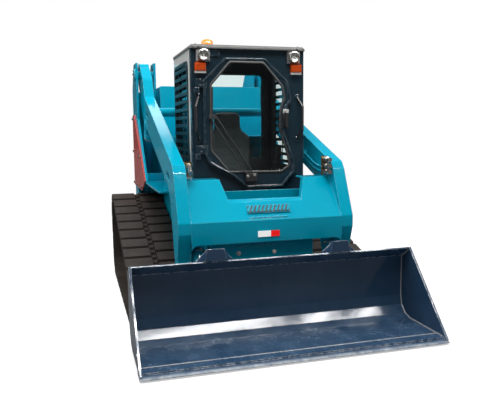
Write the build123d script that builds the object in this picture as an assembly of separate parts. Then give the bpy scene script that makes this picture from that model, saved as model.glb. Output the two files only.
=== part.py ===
from build123d import *

import math
import os

# Tracked skid steer loader: rubber tracks, radial lift arms, cab with a front door, low bucket.
# Units are millimetres. The front of the machine faces -Y, +X is the operator's left and +Z is up.
# The origin lies on the ground, at the middle of the machine's length and width.
# Side outlines are given as (y, z) points, front outlines as (x, z) points.

# Widths, from the middle outwards
cab_width = 880.0
cab_side_gap = 38.0
tub_wall = 12.0
tower_plate = 20.0
arm_inner_gap = 39.0
arm_width = 90.0
arm_outer_gap = 21.0
cover_plate = 10.0
track_gap = 15.0
track_width = 450.0
bucket_width = 1980.0

cab_half = cab_width / 2
tub_half = cab_half + cab_side_gap + tub_wall
tower_in = tub_half + tower_plate
arm_in = tower_in + arm_inner_gap
arm_out = arm_in + arm_width
arm_mid = (arm_in + arm_out) / 2
tower_out = arm_out + arm_outer_gap
tower_face = tower_out + tower_plate
track_in = tub_half + track_gap
track_out = track_in + track_width
track_mid = (track_in + track_out) / 2
bucket_half = bucket_width / 2

# Heights of the body
belly_z = 230.0
deck_z = 930.0
deck_plate = 15.0
cab_floor_z = 672.0
cab_top_z = 1980.0
roof_thickness = 28.0
hood_low_z = 1330.0
hood_top_z = 1800.0

# Lengths of the body
tub_front_y = -600.0
cab_front_y = -520.0
cab_back_y = 190.0
hood_front_y = 230.0
hood_step_y = 680.0
body_rear_y = 1640.0
bumper_rear_y = 1750.0

# Tracks: lug tips touch the ground
lug_height = 30.0
belt_thickness = 30.0
lug_count = 27
lug_length = 146.0
lug_taper = 8.0
centre_strip = 44.0
knob_length = 52.0
knob_width = 30.0
knob_height = 18.0
front_idler_y = -640.0
front_idler_r = 185.0
rear_idler_y = 900.0
rear_idler_r = 200.0
sprocket_y = 855.0
sprocket_z = 545.0
sprocket_r = 245.0
roller_r = 80.0
roller_count = 4
sprocket_teeth = 13
running_gap = 0.5

# Lift arms
lift_pivot = (1100.0, 1925.0)
lift_boss_r = 115.0
lift_pin_r = 40.0
arm_wall = 12.0
knee_top = (-842.0, 1150.0)
leg_front_y = -1040.0
cross_edge_z = 767.0
bucket_pivot = (-1005.0, 190.0)
bucket_boss_r = 70.0
bucket_pin_r = 32.0
pin_gap = 0.05
rear_tube_r = 38.0
rear_tube_at = (355.0, 1545.0)

# Cylinders
lift_base = (1270.0, 700.0)
lift_eye = (700.0, 1440.0)
lift_barrel_r = 48.0
lift_rod_r = 25.0
lift_eye_r = 40.0
lift_eye_width = 48.0
lift_base_pin_r = 28.0
tilt_base = (-680.0, 900.0)
tilt_eye = (-1045.0, 380.0)
tilt_barrel_r = 42.0
tilt_rod_r = 22.0
tilt_eye_r = 30.0
tilt_eye_width = 56.0
tilt_base_pin_r = 24.0
rod_gap = 0.3
lift_barrel_end = 860.0
lift_rod_length = 830.0
tilt_barrel_end = 510.0
tilt_rod_length = 485.0
base_eye_reach = 50.0
ear_plate = 18.0
ear_gap = 6.0
ear_half_gap = 40.0

# Bucket
lip_y = -1750.0
lip_z = 12.0
bucket_back_y = -1150.0
bucket_top_z = 552.0
bucket_top_y = -1256.0
bucket_plate = 10.0
knee_r = 150.0
bucket_side_plate = 14.0
edge_plate = 18.0
edge_depth = 120.0

# Door
door_hinge_inset = 38.0
door_hinge_gap = 26.0
door_plate = 22.0
door_rim = 12.0
door_rim_width = 19.0
door_glass_thickness = 6.0
door_gap = 3.0

os.makedirs("parts", exist_ok=True)


def save(name, shape):
    """Writes one node's solids."""
    export_step(shape, f"parts/{name}.step")


def block(x, y, z):
    """A box between the low and high values of x, y and z."""
    return Pos(*[(a + b) / 2 for a, b in (x, y, z)]) * Box(x[1] - x[0], y[1] - y[0], z[1] - z[0])


def outline(points, radius=None):
    """A closed face on points, with its corners rounded where a radius, or a list of them, is given."""
    if radius is None:
        return make_face(Polyline(*points, close=True))
    return make_face(FilletPolyline(*points, radius=radius, close=True))


def side_plate(points, x0, x1, radius=None):
    """A plate whose (y, z) outline runs from x0 to x1."""
    return extrude(Plane.YZ.offset(x0) * outline(points, radius), x1 - x0)


def front_plane(y):
    """A plane that faces the front, whose local axes are x and z."""
    return Plane(origin=(0, y, 0), x_dir=(1, 0, 0), z_dir=(0, -1, 0))


def front_plate(points, y0, y1, radius=None):
    """A plate whose (x, z) outline runs from y0 to y1."""
    return extrude(front_plane(y1) * outline(points, radius), y1 - y0)


def cross_pin(at, r, x0, x1):
    """A round bar along X at a (y, z) point."""
    return Plane.YZ.offset(x0) * Pos(*at) * extrude(Circle(r), x1 - x0)


def bar(start, end, r):
    """A round bar between two points."""
    line = Vector(*end) - Vector(*start)
    return extrude(Plane(origin=start, z_dir=line) * Circle(r), line.length)


def twin(shape):
    """The same piece on the other side of the machine."""
    return mirror(shape, about=Plane.YZ)


def both(shape):
    """A piece and its twin as one node of two solids."""
    return Compound([*shape.solids(), *twin(shape).solids()])


def save_pair(name, shape):
    """Writes a piece modelled on the left, and its twin on the right."""
    save(f"{name}_left", shape)
    save(f"{name}_right", twin(shape))


# Chassis tub: an open tray with a belly plate, and an opening at the back behind the tailgate
tub_floor_z = belly_z + tub_wall
tub_outline = [
    (tub_front_y, deck_z),
    (tub_front_y, belly_z + 200),
    (tub_front_y + 180, belly_z),
    (body_rear_y - 60, belly_z),
    (body_rear_y, belly_z + 70),
    (body_rear_y, deck_z),
]
tub_inside = [
    (tub_front_y + tub_wall, deck_z + 1),
    (tub_front_y + tub_wall, belly_z + 206),
    (tub_front_y + 186, tub_floor_z),
    (body_rear_y - 64, tub_floor_z),
    (body_rear_y - tub_wall, belly_z + 76),
    (body_rear_y - tub_wall, deck_z + 1),
]
tub = side_plate(tub_outline, -tub_half, tub_half)
tub -= side_plate(tub_inside, -tub_half + tub_wall, tub_half - tub_wall)
rear_opening_half = tub_half - 60
tub -= block(
    (-rear_opening_half, rear_opening_half), (body_rear_y - 30, body_rear_y + 1), (belly_z + 200, deck_z + 1)
)

# Rear body over the engine, open below and at the back
hood_wall = 10.0
hood_rear_z = hood_top_z - 100
hood_outline = [
    (hood_front_y, deck_z),
    (hood_front_y, hood_low_z),
    (hood_step_y, hood_low_z),
    (hood_step_y + 60, hood_top_z),
    (body_rear_y - 110, hood_top_z),
    (body_rear_y, hood_rear_z),
    (body_rear_y, deck_z),
]
hood_inside = [
    (hood_front_y + hood_wall, deck_z - 1),
    (hood_front_y + hood_wall, hood_low_z - hood_wall),
    (hood_step_y + hood_wall, hood_low_z - hood_wall),
    (hood_step_y + 69, hood_top_z - hood_wall),
    (body_rear_y - 114, hood_top_z - hood_wall),
    (body_rear_y + 1, hood_rear_z - 14),
    (body_rear_y + 1, deck_z - 1),
]
hood = side_plate(hood_outline, -tub_half, tub_half)
hood = fillet(hood.edges().filter_by(Axis.Y).group_by(Axis.Z)[-1], 18)
hood -= side_plate(hood_inside, -tub_half + hood_wall, tub_half - hood_wall)

# Tailgate on two lift-off hinges at the right-hand corner post
gate_gap = 4.0
gate_thickness = 40.0
gate_half = tub_half - 20
gate_low_z = 425.0
gate_top_z = hood_rear_z - 15
gate_hinge = (-(gate_half + 8), body_rear_y + gate_gap + gate_thickness / 2)
gate_hinge_z = (780.0, 1420.0)
gate_pin_r = 7.0
gate_knuckle_r = 13.0
knuckle_height = 60.0
gate = front_plate(
    [(-gate_half, gate_low_z), (gate_half, gate_low_z), (gate_half, gate_top_z), (-gate_half, gate_top_z)],
    body_rear_y + gate_gap,
    body_rear_y + gate_gap + gate_thickness,
    30,
)
louvre_pitch = 46.0
louvre_height = 20.0
louvre_half = 330.0
louvre_low_z = 930.0
for i in range(12):
    z = louvre_low_z + i * louvre_pitch
    gate -= block((-louvre_half, louvre_half), (body_rear_y, body_rear_y + 60), (z, z + louvre_height))
gate_skin = 6.0
gate_rim = 30.0
gate -= block(
    (-gate_half + gate_rim, gate_half - gate_rim),
    (body_rear_y, body_rear_y + gate_gap + gate_thickness - gate_skin),
    (gate_low_z + gate_rim, gate_top_z - gate_rim),
)
for z in gate_hinge_z:
    knuckle_at = Pos(gate_hinge[0], gate_hinge[1], z + knuckle_height / 2)
    knuckle = knuckle_at * Cylinder(gate_knuckle_r, knuckle_height)
    leaf = block((gate_hinge[0], -gate_half + 20), (gate_hinge[1] - 6, gate_hinge[1] + 6), (z, z + knuckle_height))
    gate += knuckle + leaf
    gate -= knuckle_at * Cylinder(gate_pin_r + pin_gap, knuckle_height + 2)
    foot = block(
        (gate_hinge[0] - 11, gate_hinge[0] + 7), (body_rear_y, gate_hinge[1] + 8), (z - 31, z - 1)
    )
    gate -= block((-gate_half - 1, gate_hinge[0] + 20), (body_rear_y, body_rear_y + 60), (z - 37, z))
    pin = Pos(gate_hinge[0], gate_hinge[1], z + knuckle_height / 2 - 6) * Cylinder(gate_pin_r, knuckle_height + 10)
    if z > deck_z:
        hood += foot + pin
    else:
        tub += foot + pin
save("chassis_tub", tub)
save("rear_body", hood)
save("tailgate", gate)

# Counterweight with two tie-down lugs and the rear lamps
bumper_half = 470.0
bumper_z = (270.0, 405.0)
lug_plate = 25.0
tie_down_x = 350.0
tie_down_hole_r = 15.0
bumper_face_y = bumper_rear_y - 50
bumper = block((-bumper_half, bumper_half), (body_rear_y, bumper_face_y), (belly_z + 70, bumper_z[1]))
tie_lug = side_plate(
    [
        (bumper_face_y, 310),
        (bumper_rear_y, 320),
        (bumper_rear_y, 385),
        (bumper_face_y, 395),
    ],
    tie_down_x - lug_plate / 2,
    tie_down_x + lug_plate / 2,
)
tie_lug -= cross_pin((bumper_face_y + 24, 352), tie_down_hole_r, tie_down_x - 30, tie_down_x + 30)
bumper += tie_lug + twin(tie_lug)
save("rear_counterweight", bumper)
save("rear_lamps", both(block((395, 455), (bumper_face_y, bumper_face_y + 6), (318, 388))))

# Engine: one block at its real place, on four feet
engine_half = 290.0
engine_y = (760.0, 1420.0)
engine_z = (320.0, 1060.0)
engine = block((-engine_half, engine_half), engine_y, engine_z)
for x in (-engine_half + 40, engine_half - 40):
    for y in (engine_y[0] + 40, engine_y[1] - 40):
        engine += block((x - 35, x + 35), (y - 35, y + 35), (tub_floor_z, engine_z[0]))
save("engine_block", engine)

# Lift tower, with the fender deck, the arm's pivot pin and the lift cylinder's base pin
tower_outline = [
    (985, 2035),
    (1215, 2035),
    (1400, 1800),
    (1400, 620),
    (1140, 620),
    (1120, deck_z - deck_plate),
    (423, deck_z - deck_plate),
    (423, deck_z + 15),
    (985, 1500),
]
deck_front_y = -430.0
tower = side_plate(tower_outline, tub_half, tower_in)
tower += side_plate(tower_outline, tower_out, tower_face)
tower += block((tower_in, tower_out), (1385, 1400), (620, 1780))
tower += block((tower_in, tower_out), (1150, 1400), (620, 640))
tower += block((tub_half, tower_face), (deck_front_y, 1000), (deck_z - deck_plate, deck_z))
tower += block((tower_in, tower_out), (480, 492), (deck_z, deck_z + 75))
tower += cross_pin(lift_pivot, lift_pin_r, tub_half, tower_face)
tower += cross_pin(lift_pivot, 62, tower_face, tower_face + 10)
tower += cross_pin(lift_base, lift_base_pin_r, tower_in, tower_out)
save_pair("tower", tower)

# Red side cover on the tower
cover = side_plate(
    [(1260, 1545), (1392, 1545), (1392, 830), (700, 830), (430, 938)],
    tower_face,
    tower_face + cover_plate,
    [30, 20, 20, 20, 4],
)
save("tower_covers", both(cover))

# Rubber track: a belt around the three wheels, with lugs in two staggered rows
wheels = [
    (front_idler_y, front_idler_r, front_idler_r),
    (rear_idler_y, rear_idler_r, rear_idler_r),
    (sprocket_y, sprocket_z, sprocket_r),
]


def loop(inset):
    """The face inside a belt line that lies the inset within the lug tips."""
    rims = [Pos(y, z) * Circle(r - inset) for y, z, r in wheels]
    return make_hull([edge for rim in rims for edge in rim.edges()])


belt_line = loop(lug_height).faces()[0].outer_wire()
belt_length = belt_line.length
belt_middle = loop(lug_height).faces()[0].center()


def on_belt(along, height):
    """A point at a length along the belt, raised towards the lug tips."""
    share = (along / belt_length) % 1.0
    point = belt_line.position_at(share)
    tangent = belt_line.tangent_at(share)
    out = Vector(tangent.Y, -tangent.X)
    if out.dot(point - belt_middle) < 0:
        out = out * -1
    return point + out * height


def lug_face(middle):
    """One lug's outline, bent with the belt."""
    low = [on_belt(middle + k * lug_length / 2, -8) for k in (-1, -0.5, 0, 0.5, 1)]
    top_half = lug_length / 2 - lug_taper
    top = [on_belt(middle + k * top_half, lug_height) for k in (1, 0.5, 0, -0.5, -1)]
    return outline(low + top)


pitch = belt_length / lug_count
ring = loop(lug_height) - loop(lug_height + belt_thickness)
rows = []
for start in (0.0, pitch / 2):
    face = ring
    for i in range(lug_count):
        face += lug_face(start + i * pitch)
    rows.append(face)
half_strip = centre_strip / 2
knobs = ring
for i in range(2 * lug_count):
    middle = (i + 0.25) * pitch / 2
    low = [on_belt(middle + k * knob_length / 2, -8) for k in (-1, 0, 1)]
    top = [on_belt(middle + k * (knob_length / 2 - 8), knob_height) for k in (1, -1)]
    knobs += outline(low + top)
track = extrude(Plane.YZ.offset(track_in) * rows[0], track_width / 2 - half_strip)
track += extrude(Plane.YZ.offset(track_mid - half_strip) * ring, centre_strip)
track += extrude(Plane.YZ.offset(track_mid - knob_width / 2) * knobs, knob_width)
track += extrude(Plane.YZ.offset(track_mid + half_strip) * rows[1], track_width / 2 - half_strip)
save_pair("track", track)

# Track frame: a channel that carries the idlers and rollers, on two stubs from the tub
channel_half = 100.0
channel_plate = 15.0
channel_outline = [
    (-690, 150),
    (-690, 220),
    (-500, 265),
    (-300, 305),
    (300, 420),
    (600, 420),
    (760, 300),
    (950, 240),
    (950, 165),
    (900, 120),
    (-640, 120),
]
wheel_half = channel_half - channel_plate
frame = side_plate(channel_outline, track_mid - channel_half, track_mid + channel_half)
frame -= block((track_mid - wheel_half, track_mid + wheel_half), (-700, 960), (100, 232))
frame -= block((track_mid - wheel_half, track_mid + wheel_half), (-700, -480), (100, 400))
frame -= block((track_mid - wheel_half, track_mid + wheel_half), (730, 960), (100, 400))
for y in (-300, 350):
    frame += block((tub_half, track_mid - channel_half), (y, y + 110), (245, 325))
save_pair("track_frame", frame)

# Idlers and rollers, between the channel's side plates
belt_inset = lug_height + belt_thickness + running_gap
tyre_half = 70.0


def wheel(y, z, r):
    """A flat roller on its axle."""
    body = cross_pin((y, z), r, track_mid - tyre_half, track_mid + tyre_half)
    return body + cross_pin((y, z), 32, track_mid - wheel_half, track_mid + wheel_half)


roller_span = (-350.0, 620.0)
rolling = [
    wheel(front_idler_y, front_idler_r, front_idler_r - belt_inset),
    wheel(rear_idler_y, rear_idler_r, rear_idler_r - belt_inset),
]
for i in range(roller_count):
    y = roller_span[0] + i * (roller_span[1] - roller_span[0]) / (roller_count - 1)
    rolling.append(wheel(y, belt_inset - running_gap + roller_r, roller_r - running_gap))
wheels_left = Compound([solid for shape in rolling for solid in shape.solids()])
save_pair("track_wheels", wheels_left)

# Drive sprocket on the hub of its motor
tooth_height = 26.0
rim_r = sprocket_r - belt_inset
teeth = []
for i in range(sprocket_teeth):
    for share, r in ((-0.34, rim_r - tooth_height), (-0.2, rim_r), (0.2, rim_r), (0.34, rim_r - tooth_height)):
        turn = 2 * math.pi * (i + share) / sprocket_teeth
        teeth.append((sprocket_y + r * math.cos(turn), sprocket_z + r * math.sin(turn)))
sprocket = side_plate(teeth, track_mid - 30, track_mid + 30)
sprocket += cross_pin((sprocket_y, sprocket_z), 120, tub_half, track_mid + 60)
sprocket += cross_pin((sprocket_y, sprocket_z), 95, track_mid + 60, track_mid + 110)
save("drive_sprockets", both(sprocket))

# Cab outlines are drawn for a cab 880 wide that rises 1050 above a deck at 930, and stretch with the real one


def cab_x(x):
    """A drawn distance from the cab's middle, on the cab as wide as it is."""
    return x / 440.0 * cab_half


def cab_z(z):
    """A drawn height above the deck, on the cab as tall as it is."""
    return deck_z + (z - 930.0) / 1050.0 * (cab_top_z - deck_z)


def on_cab(points):
    """A drawn front outline on the cab as wide and tall as it is."""
    return [(cab_x(x), cab_z(z)) for x, z in points]


# Cab: shell with its window openings, resting on the tub's rails by two flanges
cab_wall = 32.0
cab_low_z = cab_floor_z - 12
shell = block((-cab_half, cab_half), (cab_front_y, cab_back_y), (cab_low_z, cab_top_z))
shell -= block(
    (-cab_half + cab_wall, cab_half - cab_wall),
    (cab_front_y - 1, cab_back_y - cab_wall),
    (cab_floor_z, cab_top_z + 1),
)
side_window = [(y, cab_z(z)) for y, z in ((-430, 1090), (110, 1090), (110, 1880), (-430, 1880))]
rear_window = on_cab([(-340, 1130), (340, 1130), (340, 1870), (-340, 1870)])
shell -= side_plate(side_window, -cab_half - 1, cab_half + 1, 40)
shell -= front_plate(rear_window, cab_back_y - cab_wall - 1, cab_back_y + 1, 40)
shell += block((cab_half, tub_half), (cab_front_y, cab_back_y), (deck_z, deck_z + 12))
shell += block((-tub_half, -cab_half), (cab_front_y, cab_back_y), (deck_z, deck_z + 12))
save("cab_shell", shell)

glass = 6.0
pane_in = cab_half - cab_wall
save("side_glass", both(side_plate(side_window, pane_in + 6, pane_in + 6 + glass, 40)))
save("rear_glass", front_plate(rear_window, cab_back_y - 18, cab_back_y - 18 + glass, 40))

# Side screens: a rim around each side window with level slats and upright bars
screen_rim = 24.0
screen_out = cab_half + 10
low_y, low_z = side_window[0]
high_y, high_z = side_window[2]
rim_points = [
    (low_y - screen_rim, low_z - screen_rim),
    (high_y + screen_rim, low_z - screen_rim),
    (high_y + screen_rim, high_z + screen_rim),
    (low_y - screen_rim, high_z + screen_rim),
]
screen = side_plate(rim_points, cab_half, screen_out, 50)
screen -= side_plate(side_window, cab_half - 1, screen_out + 1, 40)
slat_count = 13
slat_height = 26.0
for i in range(slat_count):
    z = low_z + (i + 0.5) * (high_z - low_z) / slat_count
    screen += block((cab_half + 2, screen_out), (low_y - 4, high_y + 4), (z - slat_height / 2, z + slat_height / 2))
for y in (-250, -70):
    screen += block((cab_half + 2, cab_half + 6), (y - 6, y + 6), (low_z - 4, high_z + 4))
save("side_screens", both(screen))

# Dark front frame of the cab, with the door opening
frame_thickness = 40.0
frame_front_y = cab_front_y - frame_thickness
door_points = on_cab([
    (-190, 1918),
    (118, 1918),
    (303, 1752),
    (330, 1600),
    (270, 1522),
    (264, 1394),
    (358, 1141),
    (358, 1062),
    (258, 948),
    (-25, 948),
    (-157, 1052),
    (-314, 1134),
    (-358, 1210),
    (-358, 1748),
])
opening_points = on_cab([
    (-180, 1894),
    (108, 1894),
    (280, 1740),
    (304, 1606),
    (256, 1534),
    (250, 1390),
    (334, 1137),
    (334, 1060),
    (248, 972),
    (-16, 972),
    (-148, 1075),
    (-302, 1156),
    (-334, 1217),
    (-334, 1738),
])
front = front_plate(
    [(-cab_half, cab_low_z), (cab_half, cab_low_z), (cab_half, cab_top_z), (-cab_half, cab_top_z)],
    frame_front_y,
    cab_front_y,
)
front -= front_plate(opening_points, frame_front_y - 1, cab_front_y + 1)

front += block((cab_x(-296), cab_x(-226)), (frame_front_y - 12, frame_front_y), (cab_z(1928), cab_z(1970)))

# Front door on two lift-off hinges: a plate with a raised rim, and its glass
door_back_y = frame_front_y - door_gap
plate_front_y = door_back_y - door_plate
rim_front_y = plate_front_y - door_rim
glass_points = on_cab([
    (-150, 1886),
    (110, 1884),
    (258, 1715),
    (276, 1622),
    (243, 1542),
    (238, 1393),
    (300, 1205),
    (317, 1112),
    (249, 1066),
    (-165, 1072),
    (-303, 1235),
    (-300, 1719),
])
door_face = outline(door_points, 14)
rim_face = door_face - offset(door_face, -door_rim_width)
rim = extrude(front_plane(plate_front_y) * rim_face, door_rim)
rim = chamfer(rim.edges().group_by(Axis.Y)[0], 5)
door = extrude(front_plane(door_back_y) * door_face, door_plate) + rim
door -= front_plate(glass_points, rim_front_y - 1, door_back_y + 1, 8)
door_hinge_x = -cab_half + door_hinge_inset
door_hinge_y = frame_front_y - door_hinge_gap
door_hinge_z = (cab_z(1215.0), cab_z(1700.0))
door_pin_r = 8.0
door_knuckle_r = 14.0
for z in door_hinge_z:
    at = Pos(door_hinge_x, door_hinge_y, z + knuckle_height / 2)
    door += at * Cylinder(door_knuckle_r, knuckle_height)
    door += block((door_hinge_x, cab_x(-330)), (door_hinge_y - 7, door_hinge_y + 7), (z, z + knuckle_height))
    door -= at * Cylinder(door_pin_r + pin_gap, knuckle_height + 2)
    front += block(
        (door_hinge_x - 14, door_hinge_x + 14), (door_hinge_y - 12, frame_front_y), (z - 41, z - 1)
    )
    front += Pos(door_hinge_x, door_hinge_y, z + knuckle_height / 2 - 6) * Cylinder(door_pin_r, knuckle_height + 12)
save("cab_front_frame", front)
save("door_frame", door)
glass_y = plate_front_y + 6
save("door_glass", front_plate(glass_points, glass_y, glass_y + door_glass_thickness, 8))

# Latch in the notch on the door's free side, with its knob
latch_x = cab_x(252)
latch_z = cab_z(1400)
latch = block((latch_x, latch_x + 40), (rim_front_y - 10, rim_front_y), (latch_z, latch_z + 110))
latch += block((latch_x + 12, latch_x + 34), (rim_front_y - 34, rim_front_y - 10), (latch_z + 6, latch_z + 24))
latch += block((latch_x + 12, latch_x + 34), (rim_front_y - 46, rim_front_y - 34), (latch_z + 6, latch_z + 100))
latch += bar((latch_x + 32, rim_front_y, latch_z + 126), (latch_x + 32, rim_front_y - 22, latch_z + 126), 12)
latch += block((latch_x + 4, latch_x + 50), (rim_front_y - 10, rim_front_y), (latch_z + 100, latch_z + 142))
save("door_latch", latch)

# Wiper: a motor cover on the door, two parallel arms, and an upright blade against the glass
wiper_y = rim_front_y - 8
blade_y = glass_y - 7
wiper_foot_z = cab_z(1000)
head_x = (cab_x(-322), cab_x(-258))
head_z = cab_z(1470)
wiper = block((-45, 45), (wiper_y - 8, plate_front_y), (wiper_foot_z, wiper_foot_z + 62))
wiper += bar((-28, wiper_y, wiper_foot_z + 40), (head_x[0] + 10, wiper_y, head_z + 12), 5)
wiper += bar((25, wiper_y, wiper_foot_z + 48), (head_x[1] - 10, wiper_y, head_z + 18), 5)
wiper += block(head_x, (wiper_y - 6, wiper_y + 6), (head_z, head_z + 30))
blade_x = (head_x[0] + head_x[1]) / 2
wiper += block((blade_x - 9, blade_x + 9), (wiper_y, blade_y), (head_z + 6, head_z + 24))
wiper += bar((blade_x - 3, blade_y, cab_z(1285)), (blade_x + 3, blade_y, cab_z(1705)), 6)
save("wiper", wiper)

# Roof with its visor
roof_front_y = -590.0
roof_back_y = cab_back_y + 10
roof_half = cab_half + 10
roof = block((-roof_half, roof_half), (roof_front_y, roof_back_y), (cab_top_z, cab_top_z + roof_thickness))
roof = fillet(roof.edges().filter_by(Axis.Z), 40)
roof = chamfer(roof.edges().group_by(Axis.Z)[-1], 14)
save("cab_roof", roof)

# Lamps
lamp_x = (cab_half - 142, cab_half - 38)
lamp_z = (cab_top_z - 98, cab_top_z - 3)
lamp_front_y = frame_front_y - 24
lamp_middle = ((lamp_x[0] + lamp_x[1]) / 2, (lamp_z[0] + lamp_z[1]) / 2)
lamp = block(lamp_x, (lamp_front_y - 8, frame_front_y), lamp_z)
lamp = chamfer(lamp.edges().group_by(Axis.Y)[0], 14)
lamp += bar((lamp_middle[0], lamp_front_y, lamp_middle[1]), (lamp_middle[0], lamp_front_y - 16, lamp_middle[1]), 36)
save("work_lamps", both(lamp))
signal_x = (cab_half - 108, cab_half - 28)
signal_z = (cab_top_z - 178, cab_top_z - 104)
signal = block(signal_x, (frame_front_y - 40, frame_front_y), (signal_z[0] + 14, signal_z[1]))
signal = chamfer(signal.edges().group_by(Axis.Y)[0], 8)
signal += block(signal_x, (frame_front_y - 30, frame_front_y), (signal_z[0], signal_z[0] + 14))
save("turn_signals", both(signal))
beacon_at = (cab_x(-235), -200.0)
roof_top_z = cab_top_z + roof_thickness
beacon = Pos(*beacon_at, roof_top_z + 12) * Cylinder(58, 24)
beacon += Pos(*beacon_at, roof_top_z + 24 + 25) * Cone(47, 43, 50)
beacon += Pos(*beacon_at, roof_top_z + 74 + 8) * Cone(43, 24, 16)
save("beacon", beacon)

# Grab bars on the front frame
grab_y = frame_front_y - 45
grab_x = (cab_half - 52, cab_half - 24)
grab_z = [cab_z(z) for z in (1312, 1382, 1562, 1634)]
grab_line = Polyline(
    (grab_x[0], frame_front_y, grab_z[0]),
    (grab_x[1], grab_y, grab_z[1]),
    (grab_x[1], grab_y, grab_z[2]),
    (grab_x[0], frame_front_y, grab_z[3]),
)
grab_start = Plane(origin=grab_line @ 0, z_dir=grab_line % 0)
grab = sweep(grab_start * RegularPolygon(10, 10), path=grab_line, transition=Transition.RIGHT)
grab &= block((0, cab_half), (grab_y - 20, frame_front_y), (grab_z[0] - 40, grab_z[3] + 40))
save("grab_bars", both(grab))

# Seat, consoles and levers
console_width = 118.0
seat_half = pane_in - console_width - 50
seat_z = (880.0, 990.0)
save("seat_pedestal", block((-seat_half + 50, seat_half - 50), (-180, 130), (cab_floor_z, seat_z[0])))
save("seat_cushion", block((-seat_half, seat_half), (-260, 100), seat_z))
backrest = side_plate(
    [(40, seat_z[1]), (140, seat_z[1]), (156, seat_z[1] + 570), (96, seat_z[1] + 570)],
    -seat_half + 15,
    seat_half - 15,
)
save("seat_backrest", backrest)
console_top_z = 1010.0
console = block((pane_in - console_width, pane_in), (-330, 120), (cab_floor_z, console_top_z))
save("consoles", both(console))
lever_x = pane_in - 63
lever = Pos(lever_x, -250, console_top_z + 30) * Cone(38, 18, 60)
lever += bar((lever_x, -250, console_top_z + 50), (lever_x - 7, -265, console_top_z + 140), 11)
lever += bar((lever_x - 7, -265, console_top_z + 140), (lever_x - 13, -278, console_top_z + 230), 24)
save("control_levers", both(lever))

# Lift arm: a box of side plates, open below where the lift cylinder's rod comes in
hinge_y, hinge_z = bucket_pivot
arm_outline = [
    (1010, 2000),
    (800, 1870),
    (690, 1692),
    knee_top,
    (-885, 1100),
    (leg_front_y, cross_edge_z),
    (leg_front_y, 690),
    (hinge_y + 27, 500),
    (hinge_y + 27, hinge_z + 100),
    (hinge_y - 45, hinge_z + 25),
    (hinge_y, hinge_z - 55),
    (hinge_y + 60, hinge_z),
    (-880, 420),
    (-725, 880),
    (-640, 985),
    (860, 1500),
    (1180, 1850),
    (1190, 1960),
]
arm_inside = [
    (850, 1330),
    (850, 1560),
    (690, 1672),
    (-834, 1132),
    (-871, 1092),
    (leg_front_y + 14, cross_edge_z - 4),
    (leg_front_y + 14, 694),
    (hinge_y + 41, 503),
    (hinge_y + 41, 420),
    (-894, 424),
    (-738, 888),
    (-650, 998),
    (560, 1412),
    (560, 1300),
]
arm = side_plate(arm_outline, arm_in, arm_out, [60, 90, 60, 25, 25, 30, 30, 60, 60, 40, 40, 40, 60, 60, 60, 40, 60, 60])
arm += cross_pin(lift_pivot, lift_boss_r, arm_in, arm_out)
arm += cross_pin(bucket_pivot, bucket_boss_r, arm_in, arm_out)
arm += cross_pin(lift_eye, 62, arm_in, arm_out)
arm -= side_plate(arm_inside, arm_in + arm_wall, arm_out - arm_wall)
arm -= cross_pin(lift_eye, 62, arm_in + arm_wall, arm_out - arm_wall)
arm -= cross_pin(lift_pivot, lift_pin_r + pin_gap, arm_in - 1, arm_out + 1)
arm -= cross_pin(bucket_pivot, bucket_pin_r + pin_gap, arm_in - 1, arm_out + 1)
for y, z in ((540, 1520), (-640, 1062)):
    slot_turn = math.degrees(math.atan2(1692 - knee_top[1], 690 - knee_top[0]))
    slot = Plane.YZ.offset(arm_out - arm_wall - 1) * Pos(y, z) * Rot(0, 0, slot_turn) * SlotOverall(130, 46)
    arm -= extrude(slot, arm_wall + 2)
arm += cross_pin(lift_eye, 36, arm_out, arm_out + 8)
arm += cross_pin(lift_eye, 36, arm_in - 8, arm_in)
save_pair("lift_arm", arm)

# Rear tube between the arms
save("arm_rear_tube", cross_pin(rear_tube_at, rear_tube_r, -arm_in, arm_in))

# Front crossmember: a folded plate, high at both ends, low in the middle where the driver steps
fold = 10.0
flange_front_y = -802.0
flange_back_y = -655.0
flange_z = 1038.0
cross_low_z = 612.0
sill_z = 882.0
sill_lip = (46.0, 20.0)
recess_right = (cab_x(258.0), cab_x(296.0))
recess_left = (cab_x(275.0), cab_x(345.0))  # wider on the side that the door's free edge swings past
slope = (flange_z - cross_edge_z) / (flange_front_y - leg_front_y)
sill_front_y = leg_front_y + (sill_z - cross_edge_z) / slope


def folded(top_front_y, top_z, back_y, back_z):
    """The crossmember's section, from the back edge of its top flange down to its lower front edge."""
    return [
        (back_y, back_z),
        (top_front_y, top_z),
        (leg_front_y, cross_edge_z),
        (leg_front_y, cross_low_z),
        (leg_front_y + fold, cross_low_z),
        (leg_front_y + fold, cross_edge_z + 4),
        (top_front_y + 5, top_z - fold),
        (back_y, back_z - fold),
    ]


high_fold = folded(flange_front_y, flange_z, flange_back_y, flange_z)
low_fold = folded(sill_front_y, sill_z, sill_front_y + sill_lip[0], sill_z + sill_lip[1])
cross = side_plate(high_fold, -arm_in, arm_in)
recess = front_plate(
    [
        (-recess_right[0], sill_z),
        (recess_left[0], sill_z),
        (recess_left[1], flange_z + 1),
        (-recess_right[1], flange_z + 1),
    ],
    leg_front_y - 10,
    flange_back_y + 10,
)
cross -= recess
cross += side_plate(low_fold, -recess_right[0] - 6, recess_left[0] + 6)


def cheek(low_x, high_x):
    """The recess's side wall, from the sill up to the flange."""
    wall = front_plate(
        [(low_x, sill_z - 4), (low_x + fold, sill_z - 4), (high_x + fold, flange_z), (high_x, flange_z)],
        sill_front_y - 30,
        flange_back_y,
    )
    return wall & side_plate(
        [
            (sill_front_y, sill_z - 6),
            (sill_front_y + 50, sill_z - 6),
            (flange_front_y + 50, flange_z),
            (flange_front_y, flange_z),
        ],
        -arm_in,
        arm_in,
    )


cross += cheek(*recess_left) + twin(cheek(*recess_right))
cross += block((-400, 400), (leg_front_y, -880), (cross_low_z, cross_low_z + fold))

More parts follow.
